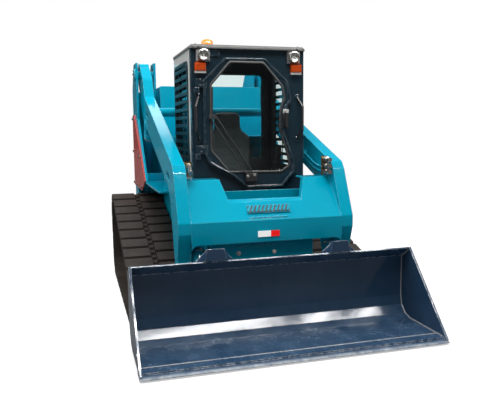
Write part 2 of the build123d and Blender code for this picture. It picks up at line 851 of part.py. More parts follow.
# Set-back panel below it, with a pressed rib, and rounded corners where the lower edge meets the legs
panel_x = (-410.0, 350.0)
panel_y = (-985.0, -880.0)
panel_low_z = 490.0
cross += block(panel_x, panel_y, (panel_low_z, cross_low_z))
cross += block((-215, 69), (panel_y[0] - 6, panel_y[0]), (570, 582))
corner_r = 45.0
corner = block((arm_in - corner_r, arm_in), (leg_front_y, leg_front_y + fold), (cross_low_z - corner_r, cross_low_z))
corner -= front_plane(0) * Pos(arm_in - corner_r, cross_low_z - corner_r) * extrude(Circle(corner_r), 2000)
cross += corner + twin(corner)
tilt_mid = arm_in - ear_gap - ear_plate - ear_half_gap
for side in (-1, 1):
    for x in (tilt_mid - 44, tilt_mid + 30):
        ear_x = sorted((side * x, side * (x + 14)))
        cross += cross_pin(tilt_base, 46, *ear_x)
        cross += block(ear_x, (tilt_base[0] - 46, tilt_base[0] + 25), (tilt_base[1], flange_z - fold))
    pin_x = sorted((side * (tilt_mid - 44), side * (tilt_mid + 44)))
    cross += cross_pin(tilt_base, tilt_base_pin_r, *pin_x)
rib_at = Pos(5, leg_front_y + (784 - cross_edge_z) / slope, 784)
cross += rib_at * Rot(math.degrees(math.atan(slope)), 0, 0) * Pos(0, 0, 1) * Box(275, 10, 8)
save("arm_crossmember", cross)

# Serrated step on the sloping face, and the reflector below it
slope_turn = math.degrees(math.atan(slope))
tread_x = 12.0
tread_width = 316.0
tread_depth = 66.0
tooth_count = 11


def on_slope(x, z, height):
    """A place on the sloping face, raised square to it, that lies along the face."""
    return Pos(x, leg_front_y + (z - cross_edge_z) / slope, z) * Rot(slope_turn, 0, 0) * Pos(0, 0, height)


tread = on_slope(tread_x, 833, 5) * Box(tread_width, tread_depth, 10)
tooth_pitch = tread_width / tooth_count
for i in range(tooth_count):
    x = tread_x + (i + 0.5 - tooth_count / 2) * tooth_pitch
    tread += on_slope(x, 833, 15) * Rot(0, 0, -25) * Box(14, tread_depth - 12, 10)
save("step_tread", tread)
reflector_y = (leg_front_y - 6, leg_front_y)
reflector_z = (650, 691)
clear_half = block((-82, 11), reflector_y, reflector_z)
red_half = block((11, 75), reflector_y, reflector_z)
save("reflector", Compound([clear_half.solid(), red_half.solid()]))

# Hydraulic pipes along the arms' inner faces, with their clamps
pipe_r = 9.0
pipe_x = arm_in - 16
run = [(560, 1520), (-560, 1125), (-660, 1108), (-790, 1108)]
pipes = None
for drop in (0, -34):
    points = [Vector(pipe_x, y, z + drop) for y, z in run]
    line = Polyline(*points)
    start = Plane(origin=line @ 0, z_dir=line % 0)
    pipe = sweep(start * RegularPolygon(pipe_r, 10), path=line, transition=Transition.RIGHT)
    pipes = pipe if pipes is None else pipes + pipe
for y in (420, 40, -340):
    z = 1520 + (y - 560) * (1125 - 1520) / (-560 - 560) - 17
    pipes += block((pipe_x - 12, arm_in), (y - 22, y + 22), (z - 34, z + 34))
save("arm_pipes", both(pipes))

# Quick couplers by the knees: three on an upright plate on the left, one that points down on the right
coupler_y = -790.0
coupler_r = 17.0
coupler_length = 70.0
coupler_x = arm_in - 30
coupler_z = (1074.0, 1119.0, 1164.0)
stack = block((coupler_x - 26, arm_in), (coupler_y - 8, coupler_y), (coupler_z[0] - 26, coupler_z[2] + 26))
for z in coupler_z:
    stack += bar((coupler_x, coupler_y - 8, z), (coupler_x, coupler_y - 38, z), 21)
    stack += bar((coupler_x, coupler_y - 38, z), (coupler_x, coupler_y - 38 - coupler_length, z), coupler_r)
single_turn = math.radians(28)
single_way = Vector(0, -math.cos(single_turn), -math.sin(single_turn))
single_at = Vector(-coupler_x, coupler_y - 8, 1140)
single = block((-arm_in, -coupler_x + 26), (coupler_y - 8, coupler_y), (1064, 1170))
single += bar(single_at - single_way * 6, single_at + single_way * 34, 21)
single -= block((-arm_in - 1, 0), (coupler_y, coupler_y + 60), (1000, 1300))
single += bar(single_at + single_way * 34, single_at + single_way * (34 + coupler_length), coupler_r)
save("couplers", Compound([stack.solid(), single.solid()]))

# Bucket: folded shell between two side plates, with the cutting edge under its lip
floor_z = lip_z + edge_plate
bend = math.radians(30)


def knee(r):
    """The knee's corners from the floor up to the back, on flats between three bends."""
    middle = (bucket_back_y - knee_r, floor_z + knee_r)
    return [(middle[0] + r * math.sin(k * bend), middle[1] - r * math.cos(k * bend)) for k in range(4)]


outer_knee = knee(knee_r)
inner_knee = knee(knee_r - bucket_plate)
sheet = [
    (lip_y + 40, floor_z),
    *outer_knee,
    (bucket_back_y, 478),
    (bucket_top_y, bucket_top_z),
    (bucket_top_y - 6, bucket_top_z - 8),
    (bucket_back_y - bucket_plate, 473),
    *reversed(inner_knee),
    (lip_y + 40, floor_z + bucket_plate),
]
bucket = side_plate(sheet, -bucket_half, bucket_half)
cheek_face = outline([(lip_y + 10, floor_z), *outer_knee, (bucket_back_y, 478), (bucket_top_y, bucket_top_z)])
for x in (-bucket_half, bucket_half - bucket_side_plate):
    bucket += extrude(Plane.YZ.offset(x) * cheek_face, bucket_side_plate)
edge = side_plate(
    [(lip_y, lip_z), (lip_y + edge_depth, lip_z), (lip_y + edge_depth, floor_z), (lip_y + 24, floor_z), (lip_y, lip_z + 5)],
    -bucket_half,
    bucket_half,
)
bucket += edge
save("bucket", bucket)

# Guards on the bucket's top edge: folded plates with their wings turned back
guard_x = 437.0
guard_top_z = 632.0
guard_low_z = bucket_top_z - 30
guard_y = (bucket_top_y - 12, bucket_top_y + 31)
guard_front = front_plane(guard_y[0]) * outline(
    [(-77, guard_low_z), (77, guard_low_z), (57, guard_top_z), (-57, guard_top_z)]
)
guard_back = front_plane(guard_y[1]) * outline(
    [(-143, guard_low_z), (143, guard_low_z), (66, guard_top_z), (-66, guard_top_z)]
)
guard = loft([guard_back, guard_front])
guard_lean = 36.0  # the back leans forward, so that it clears the crossmember at full rollback
guard -= side_plate(
    [
        (guard_y[1] + 1, bucket_top_z + 4),
        (guard_y[1] - guard_lean, guard_top_z + 8),
        (guard_y[1] + 1, guard_top_z + 8),
    ],
    -200,
    200,
)
guard -= side_plate(
    [
        (bucket_back_y, 478),
        (bucket_top_y, bucket_top_z),
        (bucket_top_y - 40, bucket_top_z),
        (bucket_top_y - 40, 400),
        (bucket_back_y, 400),
    ],
    -200,
    200,
)
save("bucket_guards", Compound([(Pos(x, 0, 0) * guard).solid() for x in (-guard_x, guard_x)]))

# Hitch frame on the bucket's back: ears for the arms and for the tilt rods
hitch_plate = 18.0
hitch_back_y = bucket_back_y + hitch_plate
ear_in = (tilt_mid - ear_half_gap - ear_plate, tilt_mid - ear_half_gap)
ear_mid = (tilt_mid + ear_half_gap, tilt_mid + ear_half_gap + ear_plate)
ear_out = (arm_out + ear_gap, arm_out + ear_gap + ear_plate)
hitch_z = (160.0, 430.0)
eye_y, eye_z = tilt_eye
hitch = block((-ear_out[1], ear_out[1]), (bucket_back_y, hitch_back_y), hitch_z)
ear_foot = [
    (hinge_y + 60, hinge_z + 35),
    (hinge_y + 60, hinge_z - 25),
    (hinge_y + 25, hinge_z - 58),
    (hinge_y - 75, hinge_z - 45),
    (hitch_back_y, hitch_z[0]),
]
arm_ear = [(hitch_back_y, hitch_z[0] + 220), (hinge_y - 5, hinge_z + 75), *ear_foot]
rod_ear = [
    (hitch_back_y, hitch_z[1]),
    (eye_y - 15, eye_z + 48),
    (eye_y + 35, eye_z + 38),
    (eye_y + 53, eye_z),
    *ear_foot,
]
for side in (-1, 1):
    for span, points in ((ear_in, rod_ear), (ear_mid, rod_ear), (ear_out, arm_ear)):
        hitch += side_plate(points, *sorted(side * x for x in span))
    pin_x = sorted((side * ear_mid[0], side * (ear_out[1] + 8)))
    hitch += cross_pin(bucket_pivot, bucket_pin_r, *pin_x)
    hitch += cross_pin(tilt_eye, 30, *sorted((side * (ear_in[0] - 10), side * ear_in[0])))
    hitch += cross_pin(tilt_eye, 30, *sorted((side * ear_mid[1], side * (ear_mid[1] + 4))))
    window_x = sorted((side * ear_in[1], side * ear_mid[0]))
    hitch -= block(window_x, (bucket_back_y - 1, hitch_back_y + 1), (300, hitch_z[1] + 1))
save("hitch_frame", hitch)


# Cylinders: a bored barrel on its base pin, and a rod that ends in an eye
def cylinder(base, eye, x, sizes):
    """A barrel and its rod, on the line from the base pin to the eye."""
    barrel_r, rod_r, eye_r, eye_width, pin_r, barrel_end, rod_length = sizes
    start = Vector(x, *base)
    end = Vector(x, *eye)
    way = (end - start).normalized()
    half = eye_width / 2
    barrel = bar(start + way * base_eye_reach, start + way * barrel_end, barrel_r)
    barrel += bar(start + way * (barrel_end - 60), start + way * barrel_end, barrel_r + 5)
    barrel += cross_pin(base, base_eye_reach - 8, x - half, x + half)
    barrel += bar(start, start + way * (base_eye_reach + 10), half - 2)
    barrel -= bar(start + way * (base_eye_reach + 12), start + way * (barrel_end + 1), rod_r + rod_gap)
    barrel -= cross_pin(base, pin_r + pin_gap, x - half - 1, x + half + 1)
    rod = bar(end - way * rod_length, end, rod_r)
    rod += cross_pin(eye, eye_r, x - half, x + half)
    return barrel, rod


lift_sizes = (
    lift_barrel_r,
    lift_rod_r,
    lift_eye_r,
    lift_eye_width,
    lift_base_pin_r,
    lift_barrel_end,
    lift_rod_length,
)
tilt_sizes = (
    tilt_barrel_r,
    tilt_rod_r,
    tilt_eye_r,
    tilt_eye_width,
    tilt_base_pin_r,
    tilt_barrel_end,
    tilt_rod_length,
)
lift_barrel, lift_rod = cylinder(lift_base, lift_eye, arm_mid, lift_sizes)
save_pair("lift_barrel", lift_barrel)
save_pair("lift_rod", lift_rod)
tilt_barrel, tilt_rod = cylinder(tilt_base, tilt_eye, tilt_mid, tilt_sizes)
save_pair("tilt_barrel", tilt_barrel)
save_pair("tilt_rod", tilt_rod)
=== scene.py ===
# %% [markdown]
# # A tracked loader, dressed for its portrait
# The solids of the machine come in as a fixed frame: every plate, pin and pipe already
# stands where it belongs. This lesson gives them paint, rubber, glass and steel, and adds
# the small made things that a solid model leaves plain: lamps, bolts, welds, seals, a seat.

# %% Load the frame
import math

import bmesh
import bpy
import numpy as np
from mathutils import Matrix, Vector


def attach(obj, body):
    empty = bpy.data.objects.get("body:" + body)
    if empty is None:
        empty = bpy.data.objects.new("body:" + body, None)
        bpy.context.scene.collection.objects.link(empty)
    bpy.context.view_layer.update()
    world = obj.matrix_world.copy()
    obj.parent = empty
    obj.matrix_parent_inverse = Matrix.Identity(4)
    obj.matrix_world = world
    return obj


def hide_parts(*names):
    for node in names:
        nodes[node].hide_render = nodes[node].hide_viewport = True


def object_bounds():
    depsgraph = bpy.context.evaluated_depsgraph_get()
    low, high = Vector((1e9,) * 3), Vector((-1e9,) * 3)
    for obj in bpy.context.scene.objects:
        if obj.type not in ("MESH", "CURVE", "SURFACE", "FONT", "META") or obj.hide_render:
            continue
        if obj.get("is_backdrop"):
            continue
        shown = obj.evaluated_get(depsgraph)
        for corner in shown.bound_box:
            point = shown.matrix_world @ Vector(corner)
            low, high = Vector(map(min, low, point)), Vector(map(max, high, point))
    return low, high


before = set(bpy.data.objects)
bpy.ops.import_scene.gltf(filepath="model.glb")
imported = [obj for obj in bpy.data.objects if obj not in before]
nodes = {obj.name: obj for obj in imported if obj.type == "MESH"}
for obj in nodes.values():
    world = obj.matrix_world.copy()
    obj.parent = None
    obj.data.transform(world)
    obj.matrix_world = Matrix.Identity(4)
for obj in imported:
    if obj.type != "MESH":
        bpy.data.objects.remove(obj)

scene = bpy.context.scene
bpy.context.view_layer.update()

# %% [markdown]
# ## Camera
# The picture was taken from about the height of the door's glass, a few steps in front of
# the bucket's right-hand corner. A camera could be aimed by eye, but the straight edges of
# the cab and bucket fix its place, so it is written as a point, three angles and a lens.

# %% Camera
EYE = (-1.2683, -4.9133, 1.3929)
YAW, DIP, ROLL = (math.radians(v) for v in (16.2116, 7.7307, 0.5313))
LENS_PIXELS, PICTURE_WIDTH, SENSOR = 591.69, 499, 36

forward = Vector((math.sin(YAW) * math.cos(DIP), math.cos(YAW) * math.cos(DIP), -math.sin(DIP)))
level = Vector((math.cos(YAW), -math.sin(YAW), 0))
upright = level.cross(forward)
across = math.cos(ROLL) * level - math.sin(ROLL) * upright
above = math.sin(ROLL) * level + math.cos(ROLL) * upright
camera = bpy.data.objects.new("portrait_camera", bpy.data.cameras.new("portrait_camera"))
camera.data.sensor_width = SENSOR
camera.data.lens = SENSOR * LENS_PIXELS / PICTURE_WIDTH
camera.data.clip_end = 100
turn = Matrix((across, above, -forward)).transposed()
camera.matrix_world = Matrix.Translation(EYE) @ turn.to_4x4()
scene.collection.objects.link(camera)
scene.camera = camera
print("camera lens", round(camera.data.lens, 2), "mm")

# %% [markdown]
# ## Light and floor
# A machine this size is photographed in a hall: rows of tubes over the bucket, broad
# lights above and at the sides, and walls that are dimmer than the ceiling. Paint shows
# that as bright lines on every bend. One sun would be simpler, but gloss needs large lights
# to reflect. The page behind the machine is white, and the floor keeps its shadow.

# %% Lights


def area_light(name, place, target, size, power):
    """A rectangular soft light, wide and deep as given, at a place and facing a target point."""
    data = bpy.data.lights.new(name, "AREA")
    data.shape = "RECTANGLE"
    data.size, data.size_y = size
    data.energy = power
    lamp = bpy.data.objects.new(name, data)
    lamp.location = place
    lamp.rotation_euler = (Vector(target) - Vector(place)).to_track_quat("-Z", "Y").to_euler()
    scene.collection.objects.link(lamp)
    return lamp


# A row of tubes: how far forward it hangs, its depth, and its watts a square metre.
# A bay of each row: its middle and its width.
ROWS = {"lower": (-2.845, 0.045, 250), "upper": (-2.755, 0.045, 250),
        "front": (-3.25, 0.2, 396), "fore": (-3.8, 0.2, 396)}
BAYS = {"near": (0.4, 2.4), "middle": (2.2, 0.65), "far": (3.06, 0.6)}
TUBE_HIGH, TUBE_TURN, BUCKET_KNEE = 4.6, 0.4, (-1.2, 0.1)
for row, (along_y, deep, glare) in ROWS.items():
    for bay, (across_x, wide) in BAYS.items():
        tube = area_light(f"tube_{row}_{bay}", (across_x, along_y, TUBE_HIGH),
                          (across_x * TUBE_TURN, *BUCKET_KNEE), (wide, deep), glare * wide * deep)
        tube.visible_diffuse = tube.visible_camera = False
# A hall light: its place, the point that it faces, its size and its watts.
HALL = {
    "hall_front": ((-0.8, -3.6, 6.4), (0, -0.9, 0.6), (3.5, 2.0), 185),
    "hall_left": ((6.5, -0.5, 4.0), (0, 0, 0.9), (4.0, 3.0), 90),
    "hall_right": ((-6.0, 0.5, 4.5), (0, 0, 0.9), (4.0, 3.0), 190),
    "hall_back": ((0.5, 6.5, 5.0), (0, 0, 0.9), (4.0, 3.0), 95),
    "hall_roof": ((0, -0.3, 6.0), (0, -0.3, 0), (7.0, 7.0), 470),
}
NOT_IN_GLOSS = ("hall_front", "hall_roof")
for name, numbers in HALL.items():
    area_light(name, *numbers).visible_glossy = name not in NOT_IN_GLOSS
print(len(HALL), "hall lights and", len(ROWS) * len(BAYS), "tubes that only gloss shows")

# %% [markdown]
# Page, floor and paint are all made of shader nodes. Placing and linking them one by one takes
# many lines, so a few helpers add a node, feed its sockets and hand on its output.

# %% Node helpers


def feed(tree, socket, value):
    """Links an output socket, or sets a plain value."""
    if isinstance(value, bpy.types.NodeSocket):
        tree.links.new(value, socket)
    else:
        socket.default_value = value


def wire(tree, node, **inputs):
    """Feeds a node's inputs, given by name or by _number."""
    for key, value in inputs.items():
        place = int(key[1:]) if key[0] == "_" else key.replace("_", " ")
        feed(tree, node.inputs[place], value)


def add_node(tree, kind, settings=(), **inputs):
    """One node with its settings and inputs."""
    node = tree.nodes.new("ShaderNode" + kind)
    for key, value in dict(settings).items():
        setattr(node, key, value)
    wire(tree, node, **inputs)
    return node


def add_math(tree, operation, *values):
    """The output of one math node."""
    node = add_node(tree, "Math", {"operation": operation})
    for socket, value in zip(node.inputs, values):
        feed(tree, socket, value)
    return node.outputs[0]


def mix_color(tree, share, low, high):
    """A colour between two, by a share from a socket."""
    node = add_node(tree, "Mix", {"data_type": "RGBA", "clamp_factor": True}, _0=share)
    for socket, value in ((node.inputs[6], low), (node.inputs[7], high)):
        feed(tree, socket, value if isinstance(value, bpy.types.NodeSocket) else (*value, 1))
    return node.outputs[2]


def mix_value(tree, share, low, high):
    """A number between two, by a share from a socket."""
    return add_node(tree, "MapRange", Value=share, To_Min=low, To_Max=high).outputs[0]


def new_finish(name):
    """An empty material with its Principled shader."""
    material = bpy.data.materials.new(name)
    material.use_nodes = True
    return material, material.node_tree, material.node_tree.nodes["Principled BSDF"]


print("node helpers ready")

# %% World and floor


def seen_rays(tree):
    """One for rays that come from the camera, a mirror or a pane, else zero."""
    path = add_node(tree, "LightPath").outputs
    first = add_math(tree, "MAXIMUM", path["Is Camera Ray"], path["Is Glossy Ray"])
    return add_math(tree, "MAXIMUM", first, path["Is Transmission Ray"])


def mirror_rays(tree):
    """One for rays that a glossy surface has sent back, and zero for those that only pass panes."""
    return add_math(tree, "GREATER_THAN", add_node(tree, "LightPath").outputs["Glossy Depth"], 0.5)


HALL_LIGHT, WALL_TONE, CEILING_TONE = 0.17, 0.05, 0.22
world = bpy.data.worlds.new("bright_hall")
world.use_nodes = True
scene.world = world
tree = world.node_tree
generated = add_node(tree, "TexCoord").outputs["Generated"]
height = add_node(tree, "SeparateXYZ", _0=generated).outputs["Z"]
walls = add_node(tree, "MapRange", Value=height, From_Min=0.05, From_Max=0.85,
                 To_Min=WALL_TONE, To_Max=CEILING_TONE).outputs[0]
wire(tree, tree.nodes["Background"],
     Strength=mix_value(tree, seen_rays(tree), HALL_LIGHT, 1.0),
     Color=mix_color(tree, mirror_rays(tree), (1, 1, 1), walls))

FLOOR_HALF, FADE_FROM, FADE_TO = 40.0, 2.4, 5.5
FLOOR_TONE, MIRRORED_TONE, MIRRORED_GLOW = (0.6, 0.6, 0.6), (0.1, 0.1, 0.1), 0.09
signs = ((-1, -1), (1, -1), (1, 1), (-1, 1))
floor_corners = [(x * FLOOR_HALF, y * FLOOR_HALF, 0) for x, y in signs]
floor_mesh = bpy.data.meshes.new("floor")
floor_mesh.from_pydata(floor_corners, [], [(0, 1, 2, 3)])
floor = bpy.data.objects.new("floor", floor_mesh)
scene.collection.objects.link(floor)
floor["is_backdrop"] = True
floor_paint, tree, shader = new_finish("pale_floor")
place = add_node(tree, "TexCoord").outputs["Object"]
reach = add_node(tree, "VectorMath", {"operation": "LENGTH"}, _0=place).outputs["Value"]
far = add_node(tree, "MapRange", {"interpolation_type": "SMOOTHSTEP"}, Value=reach,
               From_Min=FADE_FROM, From_Max=FADE_TO).outputs[0]
fade = mix_color(tree, far, FLOOR_TONE, (0, 0, 0))
glow = add_math(tree, "MULTIPLY", mix_value(tree, far, 0.5, 1.0), seen_rays(tree))
dim_glow = mix_value(tree, mirror_rays(tree), 1.0, MIRRORED_GLOW)
wire(tree, shader, Roughness=0.9, Specular_IOR_Level=0.0, Emission_Color=(1, 1, 1, 1),
     Base_Color=mix_color(tree, mirror_rays(tree), fade, MIRRORED_TONE),
     Emission_Strength=add_math(tree, "MULTIPLY", glow, dim_glow))
floor_mesh.materials.append(floor_paint)
scene.view_settings.view_transform = "Standard"
print("a floor", 2 * FLOOR_HALF, "m wide that fades into the page")

# %% [markdown]
# ## Shared effects
# Most finishes on this machine share a few things: an uneven skin, edges that are scraped,
# rounded a little and painted lighter as a highlight, and dust that settles low down, which on
# the bucket is painted light on its floor; some change at a border. Each is a node group, built
# once, with the numbers that differ as inputs. Image textures could do it too, but noise on
# object coordinates fits any shape at true scale.

# %% Node groups
FLOAT, VECTOR = "NodeSocketFloat", "NodeSocketVector"


class Group:
    """A shader node group in the making: named numbers are given, nodes added, outputs fed."""

    def __init__(self, name, inputs, outputs):
        self.tree = bpy.data.node_groups.new(name, "ShaderNodeTree")
        for label, value in inputs.items():
            socket = self.tree.interface.new_socket(label, in_out="INPUT", socket_type=FLOAT)
            socket.default_value = value
        for label, kind in outputs.items():
            self.tree.interface.new_socket(label, in_out="OUTPUT", socket_type=kind)
        self.given = self.tree.nodes.new("NodeGroupInput").outputs
        self.end = self.tree.nodes.new("NodeGroupOutput")

    def add(self, kind, settings=(), **inputs):
        return add_node(self.tree, kind, settings, **inputs)

    def math(self, operation, a, b):
        return add_math(self.tree, operation, a, b)

    def give(self, **outputs):
        wire(self.tree, self.end, **outputs)


print("groups take numbers in and give masks and normals out")

# %% Uneven skin
skin = Group("uneven_skin", {"Scale": 40.0, "Mottle Scale": 3.0},
             {"Fine": FLOAT, "Mottle": FLOAT, "Streak": FLOAT})
place = skin.add("TexCoord").outputs["Object"]
fine = skin.add("TexNoise", Vector=place, Scale=skin.given["Scale"], Detail=4.0, Roughness=0.6)
mottle = skin.add("TexNoise", Vector=place, Scale=skin.given["Mottle Scale"], Detail=5.0,
                  Roughness=0.55)
stretched = skin.add("Mapping", Vector=place, Scale=(9.0, 9.0, 0.6))
streak = skin.add("TexNoise", Vector=stretched.outputs[0], Scale=2.2, Detail=4.0, Roughness=0.6)
skin.give(Fine=fine.outputs["Fac"], Mottle=mottle.outputs["Fac"], Streak=streak.outputs["Fac"])
print("group uneven_skin gives fine grain, mottle and downward streaks")

# %% Rubbed and rounded edges, with a painted highlight
# The lighter edge colour that this mask brings in is partly chipped paint and partly a painted
# highlight standing in for the bright lines along bends.
wear_and_highlight = Group("chipped_and_highlit_edges", {"Width": 0.006, "Amount": 0.6, "Breakup": 30.0},
             {"Mask": FLOAT, "Rounded": VECTOR})
place = wear_and_highlight.add("TexCoord").outputs["Object"]
rounded_off = wear_and_highlight.add("Bevel", {"samples": 6}, Radius=wear_and_highlight.given["Width"]).outputs[0]
true_normal = wear_and_highlight.add("NewGeometry").outputs["Normal"]
facing = wear_and_highlight.add("VectorMath", {"operation": "DOT_PRODUCT"}, _0=rounded_off, _1=true_normal)
edge = wear_and_highlight.add("MapRange", Value=facing.outputs["Value"], From_Min=0.985, From_Max=0.8)
chips = wear_and_highlight.add("TexNoise", Vector=place, Scale=wear_and_highlight.given["Breakup"], Detail=6.0, Roughness=0.7)
broken = wear_and_highlight.add("MapRange", Value=chips.outputs["Fac"], From_Min=0.42, From_Max=0.62)
kept = wear_and_highlight.math("MULTIPLY", edge.outputs[0], broken.outputs[0])
wear_and_highlight.give(Mask=wear_and_highlight.math("MULTIPLY", kept, wear_and_highlight.given["Amount"]), Rounded=rounded_off)
# This mask also carries a painted highlight on edges.
print("group chipped_and_highlit_edges masks the corners that hands, boots and stones reach, and rounds them")

# %% Settled dust, and painted light on the bucket's floor
# On the bucket this mask lays a lighter navy on the low upward faces of the floor: painted light,
# in patches. On the other finishes it is dust.
dust = Group("dust_and_floor_light", {"Top": 0.8, "Amount": 0.5}, {"Mask": FLOAT})
coords = dust.add("TexCoord").outputs
height = dust.add("SeparateXYZ", _0=coords["Object"]).outputs["Z"]
facing_up = dust.add("SeparateXYZ", _0=coords["Normal"]).outputs["Z"]
low = dust.add("MapRange", Value=height, From_Min=dust.given["Top"], From_Max=0.0)
shelf = dust.add("MapRange", Value=facing_up, From_Min=-0.2, From_Max=1.0, To_Min=0.35)
cloud = dust.add("TexNoise", Vector=coords["Object"], Scale=7.0, Detail=7.0, Roughness=0.65)
patch = dust.add("MapRange", Value=cloud.outputs["Fac"], From_Min=0.35, From_Max=0.75)
lying = dust.math("MULTIPLY", low.outputs[0], shelf.outputs[0])
mask = dust.math("MULTIPLY", lying, patch.outputs[0])
dust.give(Mask=dust.math("MULTIPLY", mask, dust.given["Amount"]))
print("group dust_and_floor_light lies thickest low down and on upward faces")

# %% Bordered places
region = Group("bordered_place", {"X": 0.0, "Y": 0.0, "Z": 0.0, "Border": 0.0, "Blur": 0.0005},
               {"Mask": FLOAT})
place = region.add("SeparateXYZ", _0=region.add("TexCoord").outputs["Object"]).outputs
parts = [region.math("MULTIPLY", place[axis], region.given[axis]) for axis in "XYZ"]
along = region.math("ADD", region.math("ADD", parts[0], parts[1]), parts[2])
past = region.math("SUBTRACT", along, region.given["Border"])
share = region.math("DIVIDE", past, region.given["Blur"])
region.give(Mask=region.add("Clamp", Value=region.math("ADD", share, 0.5)).outputs[0])
print("group bordered_place is one beyond a flat border and zero before it")

# %% [markdown]
# ## Finishes
# Loader paint is a gloss enamel: a colour coat under a clear skin, with a faint orange peel.
# One recipe makes every painted finish, with its own colour, edge chips, dust and gloss. A plain
# colour would be quicker, but enamel is known by its chips, its dust and its bright edges; the
# bright edges are a lighter colour painted on, partly chips and partly a painted highlight.

# %% Finish helpers


def use_group(tree, group, **inputs):
    """Places a node group in a material and hands on its outputs."""
    node = tree.nodes.new("ShaderNodeGroup")
    node.node_tree = group.tree
    wire(tree, node, **inputs)
    return node.outputs


def ranged(tree, value, low, high):
    """A noise value spread between two numbers."""
    return add_node(tree, "MapRange", Value=value, From_Min=0.3, From_Max=0.7,
                    To_Min=low, To_Max=high).outputs[0]


def two_tone(tree, noise, color, shade):
    """A colour and its shade, mixed by a noise."""
    return mix_color(tree, ranged(tree, noise, 0.0, 1.0), color, shade)


def bumped(tree, height, strength, distance, normal=None):
    """A normal raised by a height, on a rounded normal where one is given."""
    node = add_node(tree, "Bump", Height=height, Strength=strength, Distance=distance)
    if normal is not None:
        wire(tree, node, Normal=normal)
    return node.outputs[0]


def beyond(tree, borders):
    """A mask that is one beyond any of some borders."""
    masks = [use_group(tree, region, **border)["Mask"] for border in borders]
    total = masks[0]
    for mask in masks[1:]:
        total = add_math(tree, "MAXIMUM", total, mask)
    return total


print("finish helpers ready")

# %% Painted finishes
WORN_ROUGHER, DUST_ROUGHER = 0.18, 0.5


def paint(name, color, shade, chipped_and_highlight_tone, rough=(0.1, 0.18), chip_and_highlight_amount=0.5, dust_and_lit_amount=0.25, dust_and_lit_top=0.8,
          dust_and_lit_tone=(0.32, 0.28, 0.23), peel=0.05, coat=0.2, edge_band_width=0.006, specular=0.4,
          scuffed=(), other=None, waves=0.0):
    """Enamel: two mottled tones, a lighter edge colour at corners and in scuffed places, dust low
    down, orange peel and shallow waves in the bump. The edge colour is partly metal showing
    through and partly a painted highlight along the edges; on the bucket the dust is a lighter
    navy, painted light on the low upward faces of its floor. Beyond the given borders it turns
    into the other colour."""
    material, tree, shader = new_finish(name)
    uneven = use_group(tree, skin, Scale=260.0, Mottle_Scale=2.6)
    edge_chips_and_highlight = use_group(tree, wear_and_highlight, Width=edge_band_width, Amount=chip_and_highlight_amount)
    settled_and_lit = use_group(tree, dust, Top=dust_and_lit_top, Amount=dust_and_lit_amount)["Mask"]
    tone = two_tone(tree, uneven["Mottle"], color, shade)
    tone = mix_color(tree, ranged(tree, uneven["Streak"], 0.0, 0.3), tone, shade)
    if other:
        tone = mix_color(tree, beyond(tree, other["beyond"]), tone, other["color"])
    chipped_and_highlight_mask = edge_chips_and_highlight["Mask"]
    if scuffed:
        patchy = ranged(tree, uneven["Streak"], 0.25, 0.9)
        places = add_math(tree, "MULTIPLY", beyond(tree, scuffed), patchy)
        chipped_and_highlight_mask = add_math(tree, "MAXIMUM", chipped_and_highlight_mask, places)
    # rub: the tone with the edge colour laid in, partly metal showing through and partly a painted
    # highlight.
    rub = mix_color(tree, chipped_and_highlight_mask, tone, chipped_and_highlight_tone)
    gloss = ranged(tree, uneven["Mottle"], *rough)
    worn_gloss = add_math(tree, "MULTIPLY_ADD", chipped_and_highlight_mask, WORN_ROUGHER, gloss)
    clear = add_math(tree, "SUBTRACT", 1.0, settled_and_lit)
    wavy = bumped(tree, uneven["Mottle"], waves, 0.03, edge_chips_and_highlight["Rounded"])
    # On the bucket this dust is a lighter navy: painted light on the low upward faces of its floor.
    wire(tree, shader, Base_Color=mix_color(tree, settled_and_lit, rub, dust_and_lit_tone),
         Roughness=add_math(tree, "MULTIPLY_ADD", settled_and_lit, DUST_ROUGHER, worn_gloss),
         Coat_Weight=add_math(tree, "MULTIPLY", clear, coat), Coat_Roughness=0.07,
         Specular_IOR_Level=specular, Normal=bumped(tree, uneven["Fine"], peel, 0.002, wavy))
    return material


TEAL, TEAL_SHADE = (0.0, 0.36, 0.52), (0.0, 0.32, 0.46)
# The teal's light cyan edge colour is a painted highlight along its edges.
teal_paint = paint(
    "teal_enamel", TEAL, TEAL_SHADE, (0.34, 0.7, 0.78), rough=(0.05, 0.1), chip_and_highlight_amount=0.85, dust_and_lit_amount=0.2,
    dust_and_lit_top=0.7, edge_band_width=0.007, waves=0.05, specular=0.22, coat=0.08)
cylinder_paint = paint(
    "teal_cylinder", TEAL, TEAL_SHADE, (0.15, 0.4, 0.45), chip_and_highlight_amount=0.4, dust_and_lit_amount=0.3)
red_paint = paint(
    "red_enamel", (0.8, 0.085, 0.065), (0.74, 0.065, 0.05), (0.7, 0.4, 0.36), rough=(0.2, 0.3),
    chip_and_highlight_amount=0.5, dust_and_lit_amount=0.12, coat=0.9, specular=0.5)
# The bucket's edge colour is partly steel showing through and partly a painted highlight; its
# lighter navy dust is painted light on the low upward faces of its floor.
bucket_paint = paint(
    "bucket_enamel", (0.013, 0.041, 0.086), (0.026, 0.055, 0.102), (0.5, 0.54, 0.58),
    rough=(0.05, 0.1), chip_and_highlight_amount=1.4, dust_and_lit_amount=0.8, dust_and_lit_top=0.22, dust_and_lit_tone=(0.065, 0.115, 0.19),
    edge_band_width=0.008, peel=0.01, waves=0.035,
    scuffed=[{"Y": -1.0, "Border": 1.735, "Blur": 0.012}])
weld_paint = paint(
    "weld_enamel", (0.14, 0.16, 0.19), (0.3, 0.3, 0.3), (0.4, 0.4, 0.4), rough=(0.25, 0.4),
    chip_and_highlight_amount=0.6, dust_and_lit_amount=0.1)
